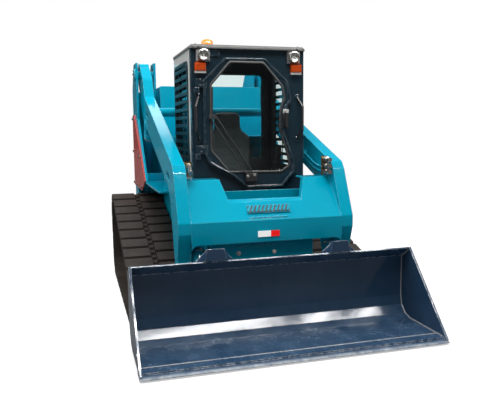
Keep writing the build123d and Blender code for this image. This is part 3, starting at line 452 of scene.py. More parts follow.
# The cab front's light edge colour is a painted highlight on the door rims and frame edges.
cab_paint = paint(
    "cab_front_enamel", (0.014, 0.031, 0.045), (0.018, 0.038, 0.054), (0.36, 0.41, 0.46),
    rough=(0.06, 0.13), chip_and_highlight_amount=1.1, dust_and_lit_amount=0.0, edge_band_width=0.007, waves=0.05)
under_paint = paint(
    "undercarriage_enamel", (0.014, 0.015, 0.017), (0.022, 0.022, 0.023), (0.16, 0.16, 0.16),
    rough=(0.4, 0.6), chip_and_highlight_amount=0.5, dust_and_lit_amount=0.7, dust_and_lit_top=0.7, coat=0.1, dust_and_lit_tone=(0.12, 0.1, 0.08))
OUTSIDE = [{"X": 1.0, "Border": 0.4392}, {"X": -1.0, "Border": 0.4392},
           {"Y": 1.0, "Border": 0.1892}]
shell_paint = paint(
    "cab_shell_enamel", (0.017, 0.027, 0.03), (0.021, 0.032, 0.035), (0.2, 0.2, 0.2),
    chip_and_highlight_amount=0.2, dust_and_lit_amount=0.0, coat=0.3, rough=(0.3, 0.45),
    other={"color": (0.58, 0.6, 0.58), "beyond": OUTSIDE})
print("eight painted finishes")

# %% [markdown]
# Rubber, plastic, metal, glass and lamp lenses are not enamel. Each gets its own short recipe
# with the grain that the real thing shows: scuffed rubber, pebbled plastic, brushed rods.

# %% Rubber, plastic and seat cover


def moulded(name, color, shade, grain, rough, strength=0.25, dust_and_lit_amount=0.0, dust_and_lit_top=0.8,
            dust_and_lit_tone=(0.2, 0.16, 0.12), specular=0.5):
    """A moulded skin: two close tones, a pebbled bump and a little dust."""
    material, tree, shader = new_finish(name)
    uneven = use_group(tree, skin, Scale=grain, Mottle_Scale=5.0)
    settled_and_lit = use_group(tree, dust, Top=dust_and_lit_top, Amount=dust_and_lit_amount)["Mask"]
    edge_chips_and_highlight = use_group(tree, wear_and_highlight, Width=0.004, Amount=0.35)
    tone = two_tone(tree, uneven["Mottle"], color, shade)
    lighter = tuple(min(1.0, 1.6 * v + 0.002) for v in shade)
    rub = mix_color(tree, edge_chips_and_highlight["Mask"], tone, lighter)
    wire(tree, shader, Base_Color=mix_color(tree, settled_and_lit, rub, dust_and_lit_tone),
         Roughness=ranged(tree, uneven["Fine"], *rough), Specular_IOR_Level=specular,
         Normal=bumped(tree, uneven["Fine"], strength, 0.002, edge_chips_and_highlight["Rounded"]))
    return material


rubber = moulded(
    "track_rubber", (0.02, 0.0165, 0.0145), (0.033, 0.027, 0.022), 120.0, (0.6, 0.85), 0.4,
    dust_and_lit_amount=0.45, dust_and_lit_top=1.1, dust_and_lit_tone=(0.085, 0.064, 0.05), specular=0.3)
seal_rubber = moulded(
    "seal_rubber", (0.006, 0.006, 0.007), (0.01, 0.01, 0.011), 300.0, (0.45, 0.65))
black_plastic = moulded(
    "black_plastic", (0.009, 0.009, 0.01), (0.015, 0.015, 0.017), 420.0, (0.35, 0.5))
roof_shell = moulded(
    "roof_shell", (0.17, 0.17, 0.165), (0.14, 0.14, 0.135), 300.0, (0.35, 0.5), 0.12)
seat_cover = moulded(
    "seat_cover", (0.03, 0.036, 0.037), (0.045, 0.052, 0.053), 500.0, (0.45, 0.62), 0.35)
boot_rubber = moulded(
    "boot_rubber", (0.07, 0.075, 0.074), (0.095, 0.1, 0.098), 400.0, (0.5, 0.65), 0.2)
thread_finish = moulded(
    "seat_thread", (0.10, 0.10, 0.10), (0.14, 0.14, 0.135), 900.0, (0.6, 0.8), 0.1)
# A dark sheet laid between the step's raised bars: painted shade for the gaps between them.
slot_shade_finish = moulded(
    "grip_sheet", (0.004, 0.03, 0.04), (0.006, 0.045, 0.058), 800.0, (0.6, 0.8), 0.5)
screen_paint = moulded(
    "screen_coating", (0.008, 0.03, 0.04), (0.01, 0.05, 0.065), 300.0, (0.3, 0.45), 0.15)
print("nine moulded finishes")

# %% Metals


def metal(name, color, shade, rough, brushed=False, strength=0.08, metallic=1.0, other=None):
    """Bare metal: two tones and a bump that is cast and pebbled, or drawn out into fine brushed
    lines. Beyond the given borders it turns into another colour, which may be no metal."""
    material, tree, shader = new_finish(name)
    place = add_node(tree, "TexCoord").outputs["Object"]
    stretch, scale = ((60.0, 3.0, 60.0), 6.0) if brushed else ((1.0, 1.0, 1.0), 220.0)
    spread = add_node(tree, "Mapping", Vector=place, Scale=stretch).outputs[0]
    grain = add_node(tree, "TexNoise", Vector=spread, Scale=scale, Detail=5.0).outputs["Fac"]
    uneven = use_group(tree, skin, Scale=90.0, Mottle_Scale=7.0)
    tone = two_tone(tree, uneven["Mottle"], color, shade)
    if other:
        past = beyond(tree, other["beyond"])
        tone = mix_color(tree, past, tone, other["color"])
        metallic = mix_value(tree, past, metallic, other["metallic"])
    wire(tree, shader, Base_Color=tone, Metallic=metallic, Roughness=ranged(tree, grain, *rough),
         Normal=bumped(tree, grain, strength, 0.001))
    return material


SILVER = (0.62, 0.62, 0.6)
steel = metal("bright_steel", SILVER, (0.5, 0.5, 0.49), (0.14, 0.28), brushed=True)
zinc = metal("zinc_steel", (0.5, 0.5, 0.47), (0.38, 0.37, 0.34), (0.3, 0.45))
lamp_silver = metal("lamp_housing", (0.55, 0.54, 0.52), (0.42, 0.41, 0.4), (0.2, 0.35))
latch_finish = metal(
    "latch_black_and_knob", (0.01, 0.01, 0.011), (0.014, 0.014, 0.015), (0.3, 0.45), metallic=0.0,
    other={"beyond": [{"Z": 1.0, "Border": 1.5115}], "color": SILVER, "metallic": 1.0})
coupler_finish = metal(
    "couplers_on_plate", SILVER, (0.45, 0.44, 0.42), (0.2, 0.34),
    other={"beyond": [{"Y": 1.0, "Border": -0.7984}], "color": (0.4, 0.29, 0.13), "metallic": 1.0})
casting = metal("engine_casting", (0.3, 0.3, 0.3), (0.22, 0.22, 0.22), (0.5, 0.7), strength=0.4)
print("six metals")

# %% Glass and lenses


def pane(name, color, rough=0.0, seen=0.8):
    """Glass: clear and tinted, with faint smears in its gloss. Lamp light passes it without a
    hard shadow."""
    material, tree, shader = new_finish(name)
    smears = use_group(tree, skin, Scale=60.0, Mottle_Scale=3.0)["Mottle"]
    wire(tree, shader, Base_Color=two_tone(tree, smears, color, [v * 0.95 for v in color]),
         Roughness=ranged(tree, smears, rough, rough + 0.008), Transmission_Weight=1.0, IOR=1.4)
    clear = add_node(tree, "BsdfTransparent", Color=(*(v * seen for v in color), 1))
    path = add_node(tree, "LightPath").outputs
    either = add_math(tree, "MAXIMUM", path["Is Shadow Ray"], path["Is Diffuse Ray"])
    mixed = add_node(tree, "MixShader", _0=either, _1=shader.outputs[0], _2=clear.outputs[0])
    wire(tree, tree.nodes["Material Output"], Surface=mixed.outputs[0])
    return material


def lens(name, color, shade, glow, ribs=90.0, other=None):
    """A coloured lamp lens: fine moulded ribs over a bright colour that is lit a little from
    within. On the reflector sheet, which is no lamp, this glow is a painted glow. Beyond the
    given borders it turns into another colour."""
    material, tree, shader = new_finish(name)
    place = add_node(tree, "TexCoord").outputs["Object"]
    rib = add_node(tree, "TexWave", {"bands_direction": "X"}, Vector=place, Scale=ribs,
                   Distortion=0.0).outputs["Fac"]
    uneven = use_group(tree, skin, Scale=80.0, Mottle_Scale=12.0)
    tone = mix_color(tree, rib, color, shade)
    tone = mix_color(tree, ranged(tree, uneven["Mottle"], 0.0, 0.4), tone, shade)
    if other:
        tone = mix_color(tree, beyond(tree, other["beyond"]), tone, other["color"])
    wire(tree, shader, Base_Color=tone, Emission_Color=tone, Emission_Strength=glow,
         Roughness=ranged(tree, uneven["Fine"], 0.12, 0.22), Coat_Weight=0.6,
         Normal=bumped(tree, rib, 0.3, 0.002))
    return material


tinted_glass = pane("tinted_glass", (0.89, 0.97, 0.965))
lamp_glass = lens("lamp_glass", (0.75, 0.75, 0.72), (0.5, 0.5, 0.49), 0.15, 110.0)
clear_glass = pane("clear_lamp_glass", (0.97, 0.97, 0.96))
signal_lens = lens(
    "signal_lens", (0.72, 0.1, 0.006), (0.42, 0.035, 0.003), 0.06,
    other={"beyond": [{"Z": -1.0, "Border": -1.8162}], "color": (0.66, 0.65, 0.62)})
beacon_lens = lens("beacon_lens", (0.95, 0.33, 0.02), (0.85, 0.22, 0.012), 0.18)
red_lens = lens("red_lens", (0.5, 0.01, 0.01), (0.36, 0.007, 0.007), 0.05)
# The reflector sheet is no lamp: its glow is painted light that makes its white and red brighter.
reflector_sheet = lens(
    "reflector_sheet", (0.92, 0.92, 0.91), (0.85, 0.85, 0.84), 0.45, 160.0,
    other={"beyond": [{"X": 1.0, "Border": 0.011}], "color": (0.8, 0.003, 0.003)})
beacon_finish = lens(
    "beacon_base", (0.012, 0.012, 0.013), (0.01, 0.01, 0.011), 0.0,
    other={"beyond": [{"Z": 1.0, "Border": 2.0315}], "color": (0.9, 0.28, 0.015)})
print("panes and lenses")

# %% Give the solids their finishes
FINISH_BY_SLOT = {
    "teal_paint": teal_paint, "red_paint": red_paint, "rubber_track": rubber,
    "undercarriage_paint": under_paint, "dark_paint": cab_paint, "roof_shell": roof_shell,
    "tinted_glass": tinted_glass, "black_plastic": black_plastic, "seat_cover": seat_cover,
    "lamp_lens": lamp_glass, "amber_lens": signal_lens, "red_lens": red_lens,
    "reflector_sheet": reflector_sheet, "engine_casting": casting, "steel": steel,
    "cylinder_paint": cylinder_paint,
}
FINISH_BY_NODE = {
    "bucket": bucket_paint, "bucket_guards": bucket_paint, "step_tread": teal_paint,
    "cab_shell": shell_paint, "side_screens": screen_paint, "work_lamps": lamp_silver,
    "door_latch": latch_finish, "couplers": coupler_finish, "beacon": beacon_finish,
    "arm_pipes": cylinder_paint,
}
for name, solid in nodes.items():
    for place in solid.material_slots:
        slot = place.material.name.split(".")[0]
        place.material = FINISH_BY_NODE.get(name) or FINISH_BY_SLOT[slot]
print(len(nodes), "solids finished")

# %% [markdown]
# ## Shapes from arrays
# Bolts, rings, seals, wires and welds are all one of two things: a profile turned about an
# axis, or a profile carried along a path. Blender could add and edit primitives one by one,
# but a formula on whole arrays gives hundreds of clean pieces from a few lines.

# %% Surface helpers


def quads(rows, columns, wrap_rows=False):
    """Faces of a grid that closes across its columns: each point with its next neighbours."""
    i = np.arange(rows if wrap_rows else rows - 1)[:, None]
    j = np.arange(columns)[None, :]
    right, down = (j + 1) % columns, (i + 1) % rows
    corners = (i * columns + j, i * columns + right, down * columns + right, down * columns + j)
    grid = [np.broadcast_to(c, (len(i), columns)) for c in corners]
    return np.stack(grid, -1).reshape(-1, 4).tolist()


def frame_on(axis):
    """Two unit directions square to an axis, and the axis at unit length."""
    axis = np.asarray(axis, float) / np.linalg.norm(axis)
    helper = np.array((0, 0, 1.0)) if abs(axis[2]) < 0.9 else np.array((1.0, 0, 0))
    first = np.cross(helper, axis)
    first /= np.linalg.norm(first)
    return np.stack([first, np.cross(axis, first), axis])


def turned(profile, start=(0, 0, 0), axis=(0, 0, 1), sides=24, ring=False, ripple=(0.0, 1)):
    """A profile of (radius, height) rows turned about an axis:
    start + height * axis + radius * (cos u, sin u). A ring's profile closes on itself.
    A ripple (depth, count) scales the radius by 1 + depth * cos(count * u)."""
    radius, height = np.asarray(profile, float).T
    first, second, axis = frame_on(axis)
    u = np.arange(sides) * 2 * np.pi / sides
    around = np.cos(u)[:, None] * first + np.sin(u)[:, None] * second
    spread = radius[:, None] * (1 + ripple[0] * np.cos(ripple[1] * u))[None, :]
    points = np.asarray(start, float) + height[:, None, None] * axis + spread[..., None] * around
    return points.reshape(-1, 3), quads(len(radius), sides, ring)


def swept(profile, path, up=(0, 0, 1), closed=False, swell=None):
    """A closed profile of (side, rise) rows carried along a path:
    point + side * (along x up) + rise * up. The path's own direction comes from its
    neighbours, and swell scales the profile at each point."""
    path, profile = np.asarray(path, float), np.asarray(profile, float)
    along = np.roll(path, -1, 0) - np.roll(path, 1, 0) if closed else np.gradient(path, axis=0)
    side = np.cross(along, np.broadcast_to(up, path.shape))
    side /= np.linalg.norm(side, axis=1, keepdims=True)
    rise = np.cross(side, along)
    rise /= np.linalg.norm(rise, axis=1, keepdims=True)
    scale = np.ones(len(path)) if swell is None else swell
    points = path[:, None] + scale[:, None, None] * (
        profile[None, :, :1] * side[:, None] + profile[None, :, 1:] * rise[:, None]
    )
    count = len(profile)
    faces = quads(len(path), count, closed)
    if not closed:
        last = (len(path) - 1) * count
        faces += [list(range(count))[::-1], list(range(last, last + count))]
    return points.reshape(-1, 3), faces


def circle(radius, sides=8):
    """A round profile: radius * (cos u, sin u)."""
    u = np.arange(sides) * 2 * np.pi / sides
    return radius * np.stack([np.cos(u), np.sin(u)], 1)


def box(left, low, right, high):
    """The corners of a rectangle, in turn."""
    return [(left, low), (right, low), (right, high), (left, high)]


def eased(corners, reach, steps=5, closed=True):
    """An outline whose corners are parabolas, (1-t)^2 a + 2t(1-t) corner + t^2 b, with a and b
    on the two sides, as far from the corner as the reach but short of half the side."""
    corners = np.asarray(corners, float)
    back, ahead = np.roll(corners, 1, 0) - corners, np.roll(corners, -1, 0) - corners
    a, b = (corners + way * np.minimum(reach / np.linalg.norm(way, axis=1, keepdims=True), 0.48)
            for way in (back, ahead))
    t = np.linspace(0, 1, steps)[None, :, None]
    bent = (1 - t) ** 2 * a[:, None] + 2 * t * (1 - t) * corners[:, None] + t**2 * b[:, None]
    if closed:
        return bent.reshape(-1, corners.shape[1])
    inner = bent[1:-1].reshape(-1, corners.shape[1])
    return np.concatenate([corners[:1], inner, corners[-1:]])


def spaced(path, step):
    """A path's points again, evenly spaced along its length."""
    path = np.asarray(path, float)
    length = np.concatenate([[0], np.cumsum(np.linalg.norm(np.diff(path, axis=0), axis=1))])
    even = np.linspace(0, length[-1], max(2, int(length[-1] / step)))
    return np.stack([np.interp(even, length, path[:, k]) for k in range(3)], 1)


def together(*shapes):
    """Several shapes as one: their points in a row, their faces renumbered."""
    starts = np.cumsum([0] + [len(points) for points, _ in shapes])
    faces = [[v + start for v in face] for start, (_, some) in zip(starts, shapes) for face in some]
    return np.concatenate([points for points, _ in shapes]), faces


def copies(shape, places, axes):
    """A small shape, drawn about +Z, set at each place with its Z along an axis, one for all
    or one for each: place + x e1 + y e2 + z axis."""
    points, faces = shape
    frames = np.array([frame_on(axis) for axis in np.broadcast_to(axes, (len(places), 3))])
    moved = np.asarray(places, float)[:, None] + np.einsum("vk,nkc->nvc", points, frames)
    faces = [[v + k * len(points) for v in face] for k in range(len(places)) for face in faces]
    return moved.reshape(-1, 3), faces


def mirrored(shape):
    """A shape and its twin on the other side of the machine, x -> -x."""
    points, faces = shape
    return together(shape, (points * (-1, 1, 1), faces))


print("turned, swept and copied shapes ready")

# %% Settle a piece
FORWARD, BACKWARD, SIDE, UP = (0, -1, 0), (0, 1, 0), (1, 0, 0), (0, 0, 1)
made = {}


def settle(name, shape, finish, body, sharp=38.0):
    """Puts a shape into a mesh, joins its doubles, turns its faces outwards and lets it ride
    on a body."""
    points, faces = shape
    mesh = bpy.data.meshes.new(name)
    mesh.from_pydata(np.asarray(points).tolist(), [], faces)
    work = bmesh.new()
    work.from_mesh(mesh)
    bmesh.ops.remove_doubles(work, verts=work.verts, dist=1e-6)
    bmesh.ops.dissolve_degenerate(work, edges=work.edges, dist=1e-7)
    bmesh.ops.recalc_face_normals(work, faces=work.faces)
    work.to_mesh(mesh)
    work.free()
    mesh.shade_smooth()
    mesh.set_sharp_from_angle(angle=math.radians(sharp))
    mesh.materials.append(finish)
    piece = bpy.data.objects.new(name, mesh)
    scene.collection.objects.link(piece)
    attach(piece, body)
    made[name] = sum(len(p.vertices) - 2 for p in mesh.polygons)
    return piece


def tell(*words):
    """Prints the triangles of the pieces that have one of these words in their names."""
    print({name: count for name, count in made.items() if any(word in name for word in words)})


print("pieces are closed, face outwards and ride on a body")

# %% [markdown]
# ## Lamps
# Each work lamp is a box with a round mirror bowl, a bulb and a glass that bulges a little,
# held by a rim. The beacon is a ribbed amber dome. All are turned shapes, so one profile
# describes each.

# %% Work lamps, beacon and rear lamps
LAMPS = [(x, -0.600, 1.9295) for x in (-0.350, 0.350)]
rim = [(0.0345, -0.006), (0.0415, -0.006), (0.0425, 0.006), (0.041, 0.011), (0.037, 0.012),
       (0.0345, 0.008)]
t = np.linspace(0, 1, 9)
bowl = [(0.0, 0.0005), *zip(0.008 + 0.027 * t, 0.0006 + 0.0084 * t**2),
        (0.0355, -0.004), (0.0, -0.004)]
bulb = [(0.0, -0.002), (0.007, -0.002), (0.0075, 0.003), (0.0055, 0.0065), (0.0, 0.008)]
u = np.linspace(0, 1, 8) * np.pi / 2
glass = [*zip(0.0352 * np.sin(u), 0.0105 + 0.006 * np.cos(u)), (0.0352, 0.009), (0.0, 0.009)]
for name, profile, sides, finish, slot in (
    ("lamp_rims", rim, 40, lamp_silver, "steel"),
    ("lamp_bowls", bowl, 40, steel, "steel"),
    ("lamp_bulbs", bulb, 20, lamp_glass, "lamp_lens"),
    ("lamp_glasses", glass, 40, clear_glass, "lamp_lens"),
):
    shape = turned(profile, sides=sides, ring=profile is rim)
    settle(name, copies(shape, LAMPS, FORWARD), finish, "chassis")
dome = [(0.0, 0.0), (0.0478, 0.0), (0.0470, 0.02), (0.0442, 0.048), (0.039, 0.058),
        (0.028, 0.065), (0.014, 0.0675), (0.0, 0.068)]
ribbed = turned(dome, (-0.235, -0.200, 2.0322), sides=96, ripple=(0.012, 24))
settle("beacon_dome", ribbed, beacon_lens, "chassis", sharp=60)
rear_line = np.insert(eased(box(0.395, 0.318, 0.455, 0.388), 0.012), 1, 1.7055, axis=1)
rear_rim = swept(circle(0.0045), rear_line, BACKWARD, True)
settle("rear_lamp_rims", mirrored(rear_rim), black_plastic, "chassis")
tell("lamp", "beacon")

# %% [markdown]
# ## Bolts and pins
# Covers, hubs, clamps and hinges are held by hexagon bolts on washers, and the large pins by
# round caps. They are too small for the solids and too many to place by hand, so one bolt is
# turned with six sides and copied to a list of places, each with the way that it points.

# %% Bolts
FIRST_ANGLE = 0.3


def bolt(size):
    """A washer of sixteen sides under a head of six with a chamfered top; size is half the
    head's width."""
    washer = size * np.array([(0, 0), (1.5, 0), (1.5, 0.25), (0, 0.25)])
    head = size * np.array([(0, 0.2), (1.1, 0.2), (1.1, 0.95), (0.92, 1.1), (0, 1.1)])
    return together(turned(washer, sides=16), turned(head, sides=6))


def bolted(name, size, places, axis, body="chassis", both=False, finish=zinc):
    """One bolt at each place, and on both sides of the machine where asked."""
    shape = copies(bolt(size), places, axis)
    return settle(name, mirrored(shape) if both else shape, finish, body, sharp=30)


def on_circle(middle, radius, count, x):
    """Places evenly round a circle in a side plane."""
    u = np.arange(count) * 2 * np.pi / count + FIRST_ANGLE
    y, z = middle[0] + radius * np.cos(u), middle[1] + radius * np.sin(u)
    return np.stack([np.full(count, x), y, z], 1)


cover = [(1.292, 1.508), (1.366, 1.508), (1.366, 1.180), (1.366, 0.858), (1.040, 0.858),
         (0.715, 0.858), (0.780, 1.145)]
pivot = on_circle((1.100, 1.925), 0.044, 4, 0.690)
sprocket = on_circle((0.855, 0.545), 0.074, 9, 0.840)
counter = [(x, 1.700, 0.352) for x in (-0.26, -0.12, 0.12, 0.26)]
roof = [(x, y, 2.008) for x in (-0.40, 0.40) for y in (-0.54, -0.19, 0.15)]
visor = [(x, -0.590, 1.985) for x in (-0.385, 0.375)]
panel = [(-0.207, -0.985, 0.531), (0.055, -0.985, 0.527)]
clamps = [(0.521, y, 1.520 + (y - 0.560) * 0.35268 - 0.017) for y in (0.420, 0.040, -0.340)]
coupler_plate = [(0.540, -0.798, z) for z in (1.0965, 1.1415)]
hinges = [(x, -0.593, z + rise)
          for x in (-0.378, -0.350) for z in (1.215, 1.700) for rise in (0.015, 0.045)]
wiper = [(-0.028, -0.613, 1.040), (0.025, -0.613, 1.048)]
bolted("cover_bolts", 0.011, [(0.690, y, z) for y, z in cover], SIDE, both=True)
bolted("pivot_cap_bolts", 0.009, pivot, SIDE, both=True)
bolted("sprocket_bolts", 0.010, sprocket, SIDE, both=True)
bolted("counterweight_bolts", 0.014, counter, BACKWARD)
bolted("roof_screws", 0.008, roof, UP)
bolted("visor_screws", 0.006, visor, FORWARD, finish=seal_rubber)
bolted("panel_bolts", 0.011, panel, FORWARD, "arms")
bolted("clamp_bolts", 0.007, clamps, (-1, 0, 0), "arms", True)
bolted("coupler_plate_bolts", 0.006, coupler_plate, FORWARD, "arms")
bolted("hinge_bolts", 0.006, hinges, FORWARD, "door", finish=cab_paint)
bolted("wiper_nuts", 0.008, wiper, FORWARD, "door")
tell("bolt", "screw", "nut")

# %% Pin caps and flanges


def cap(radius, height):
    """A low dome with a rounded rim: radius * (0.75 + 0.25 cos t) at height * sin t."""
    t = np.linspace(0, np.pi / 2, 6)
    curve = zip(radius * (0.75 + 0.25 * np.cos(t)), height * np.sin(t))
    return turned([(0, 0), *curve, (0, height)])


axles = copies(cap(0.030, 0.012), [(0.830, -0.640, 0.185), (0.830, 0.900, 0.200)], SIDE)
rollers = [(0.830, -0.350 + k * 0.97 / 3, 0.1395) for k in range(4)]
axle_caps = mirrored(together(axles, copies(cap(0.018, 0.009), rollers, SIDE)))
settle("axle_caps", axle_caps, zinc, "chassis")
pin_caps = mirrored(copies(cap(0.036, 0.009), [(0.671, -1.005, 0.190)], SIDE))
settle("bucket_pin_caps", pin_caps, zinc, "bucket_and_hitch")
flanges = copies(cap(0.024, 0.007), [(0.388, -0.5605, z) for z in (1.312, 1.634)], FORWARD)
settle("grab_bar_flanges", mirrored(flanges), cab_paint, "chassis")
tell("caps", "flange")

# %% [markdown]
# ## Seals
# Every pane sits in a black rubber bead. Its path is the pane's own outline with eased corners,
# and its section is a flattened round, so it is carried along that path and closed on itself.

# %% Window seals
BEAD, THIN_BEAD = circle(1.0, 10) * (0.010, 0.006), circle(1.0, 10) * (0.009, 0.004)
door_pane = [(-0.150, 1.886), (0.110, 1.884), (0.258, 1.715), (0.276, 1.622), (0.243, 1.542),
             (0.238, 1.393), (0.300, 1.205), (0.317, 1.112), (0.249, 1.066), (-0.165, 1.072),
             (-0.303, 1.235), (-0.300, 1.719)]
door_line = np.insert(eased(door_pane, 0.014), 1, -0.5845, axis=1)
rear_line = np.insert(eased(box(-0.340, 1.130, 0.340, 1.870), 0.045, 9), 1, 0.190, axis=1)
side_line = np.insert(eased(box(-0.430, 1.090, 0.110, 1.880), 0.045, 9), 0, 0.4225, axis=1)
for name, seal, body in (
    ("door_glass_seal", swept(BEAD, door_line, FORWARD, True), "door"),
    ("rear_glass_seal", swept(BEAD, rear_line, BACKWARD, True), "chassis"),
    ("side_glass_seals", mirrored(swept(THIN_BEAD, side_line, SIDE, True)), "chassis"),
):
    settle(name, seal, seal_rubber, body)
tell("seal")

# %% [markdown]
# ## Welds
# The bucket's side plates and the arms' cross panel are welded, and a weld is a row of small
# overlapping ripples. A profile is carried along the joint, and its size pulses along the way.

# %% Weld beads
WELD_STEP, WELD_RIPPLE, WELD_TAPER, WELD_TIP = 0.0030, 0.009, 0.008, 0.35


def weld(path, radius=0.0055):
    """A round bead whose radius pulses, radius * (0.92 + 0.16 * |sin|), once a ripple, and
    tapers at its ends."""
    path = spaced(path, WELD_STEP)
    s = np.arange(len(path)) * WELD_STEP
    ends = np.minimum(1, np.minimum(s, s[::-1]) / WELD_TAPER + WELD_TIP)
    pulse = 0.92 + 0.16 * np.abs(np.sin(s * np.pi / WELD_RIPPLE))
    return swept(circle(radius, 8), path, (1, 0.13, 0.21), swell=ends * pulse)


corner = [(-1.690, 0.040), (-1.300, 0.040), (-1.230, 0.059), (-1.179, 0.110), (-1.160, 0.180),
          (-1.160, 0.470), (-1.250, 0.532)]
inner = mirrored(weld([(0.976, y, z) for y, z in corner]))
edge_line = weld([(x, -1.628, 0.0385) for x in (-0.970, 0.970)], 0.0050)
bucket_welds = together(inner, edge_line)
settle("bucket_welds", bucket_welds, weld_paint, "bucket_and_hitch", sharp=60)
knuckle = [(-0.670, 1.038), (-0.802, 1.038), (-1.040, 0.767), (-1.040, 0.620)]
arm_welds = mirrored(weld([(0.549, y, z) for y, z in knuckle], 0.0045))
settle("arm_welds", arm_welds, teal_paint, "arms", sharp=60)
tell("weld")

# %% [markdown]
# ## Hydraulics
# Each cylinder has a gland where its rod comes out, two ports and a hard tube between them.
# They ride on the barrel, so they swing with it when the arms move.

# %% Cylinder fittings


def fittings(name, base, way, back, radius, length, body):
    """A gland ring near the barrel's end, two port blocks on its back, and a bent tube from the
    base port to the far one."""
    base, way, back = (np.asarray(v, float) for v in (base, way, back))
    ring = [(radius * 0.9, 0), (radius + 0.004, 0), (radius + 0.006, 0.003),
            (radius + 0.006, 0.011), (radius + 0.004, 0.014), (radius * 0.9, 0.014)]
    gland_at, low_at, high_at = length - 0.085, 0.105, length - 0.110
    gland = turned(ring, base + way * gland_at, way, 32, True)
    block = [(0, radius - 0.006), (0.014, radius - 0.006), (0.014, radius + 0.012),
             (0.0115, radius + 0.014), (0, radius + 0.014)]
    low, high = base + way * low_at, base + way * high_at
    ports = [turned(block, place, back, 6) for place in (low, high)]
    stub, clear, bend = back * (radius + 0.008), back * (radius + 0.024), way * 0.04
    route = [low + stub, low + clear, low + clear + bend,
             high + clear - bend, high + clear, high + stub]
    pipe = swept(circle(0.0065, 10), eased(route, 0.016, 6, False), SIDE)
    return settle(name, together(gland, *ports, pipe), steel, body)


for side, sign in (("left", 1), ("right", -1)):
    fittings(f"lift_fittings_{side}", (sign * 0.594, 1.270, 0.700), (0, -0.610, 0.792),
             (0, 0.792, 0.610), radius=0.048, length=0.860, body=f"lift_barrel_{side}")
    fittings(f"tilt_fittings_{side}", (sign * 0.485, -0.680, 0.900), (0, -0.5745, -0.8185),
             (0, 0.8185, -0.5745), radius=0.042, length=0.510, body=f"tilt_barrel_{side}")
tell("fittings")

# %% Coupler sleeves
sleeve = [(0.0125, 0), (0.0195, 0), (0.0195, 0.006), (0.0180, 0.007), (0.0180, 0.009),
          (0.0195, 0.010), (0.0195, 0.020), (0.0165, 0.022), (0.0125, 0.022)]
knurled = turned(sleeve, sides=48, ring=True, ripple=(0.035, 16))
sleeves = copies(knurled, [(0.519, -0.838, z) for z in (1.074, 1.119, 1.164)], FORWARD)
settle("coupler_sleeves", sleeves, zinc, "arms", sharp=25)
tell("sleeve")

# %% [markdown]
# ## In the cab
# The control levers stand in folded rubber boots and end in moulded grips. A boot's radius
# rises and falls with its height, so it is one turned profile.

# %% Lever boots and grips
height = np.linspace(0, 1, 41)
folds = 0.038 - 0.020 * height + 0.0028 * np.sin(height * np.pi * 12)
boot = [(0, 1.006), *zip(folds, 1.008 + 0.062 * height), (0, 1.071)]
boots = turned(boot, (0.345, -0.250, 0), sides=32)
settle("lever_boots", mirrored(boots), boot_rubber, "chassis")
t = np.linspace(0, 1, 22)
dents = 0.0015 * np.cos(t * np.pi * 8) * (t > 0.2) * (t < 0.8)
hold = 0.0185 + 0.0065 * np.sin(np.pi * t) ** 0.6 - dents
grip = [(0, 0), *zip(hold, 0.094 * t), (0.012, 0.099), (0, 0.100)]
grips = turned(grip, (0.338, -0.265, 1.150), (-0.006, -0.013, 0.090), 28)
settle("lever_grips", mirrored(grips), black_plastic, "chassis")
tell("lever")

# %% [markdown]
# ## Wire guards
# A mesh guards the radiator behind the tailgate's louvres. Its wires are straight
# tubes, so two rows of copies make it; each wire has only a few sides.

# %% Wire mesh behind the louvres
WIRE, PITCH = 0.0016, 0.022


def wires(starts, way, length):
    """Straight wires of one length from a row of start points, all along one way."""
    rod = turned([(0, 0), (WIRE, 0), (WIRE, length), (0, length)], sides=6)
    return copies(rod, starts, way)


standing = wires([(x, 1.664, 0.930) for x in np.arange(-0.330, 0.3301, PITCH)], UP, 0.530)
lying = wires([(-0.335, 1.667, z) for z in np.arange(0.938, 1.456, PITCH)], SIDE, 0.670)
mesh_shape = together(standing, lying)
settle("tailgate_mesh", mesh_shape, seal_rubber, "tailgate", sharp=80)
tell("mesh")

# %% [markdown]
# ## Seat
# The operator's seat is vinyl over foam: a cushion and a back, sewn down along channels so
# that the foam bulges between them. The back narrows to a head rest. A rounded box would look
# like wood, so each pad starts small and is blown up as cloth, held fast where it is sewn and
# where it rests on its pan.

# %% Swollen pads
VOXEL, PRESSURE, LAST_FRAME = 0.006, 4.0, 20


def pad_shape(outline, rows):
    """A pad about its middle: the outline drawn in by each row's share, (1 - share) * outline,
    at each row's height."""
    share, height = np.asarray(rows, float).T
    flat = (1 - share)[:, None, None] * np.asarray(outline)[None]
    rise = np.broadcast_to(height[:, None, None], (*flat.shape[:2], 1))
    return np.concatenate([flat, rise], 2).reshape(-1, 3), quads(len(share), len(outline))


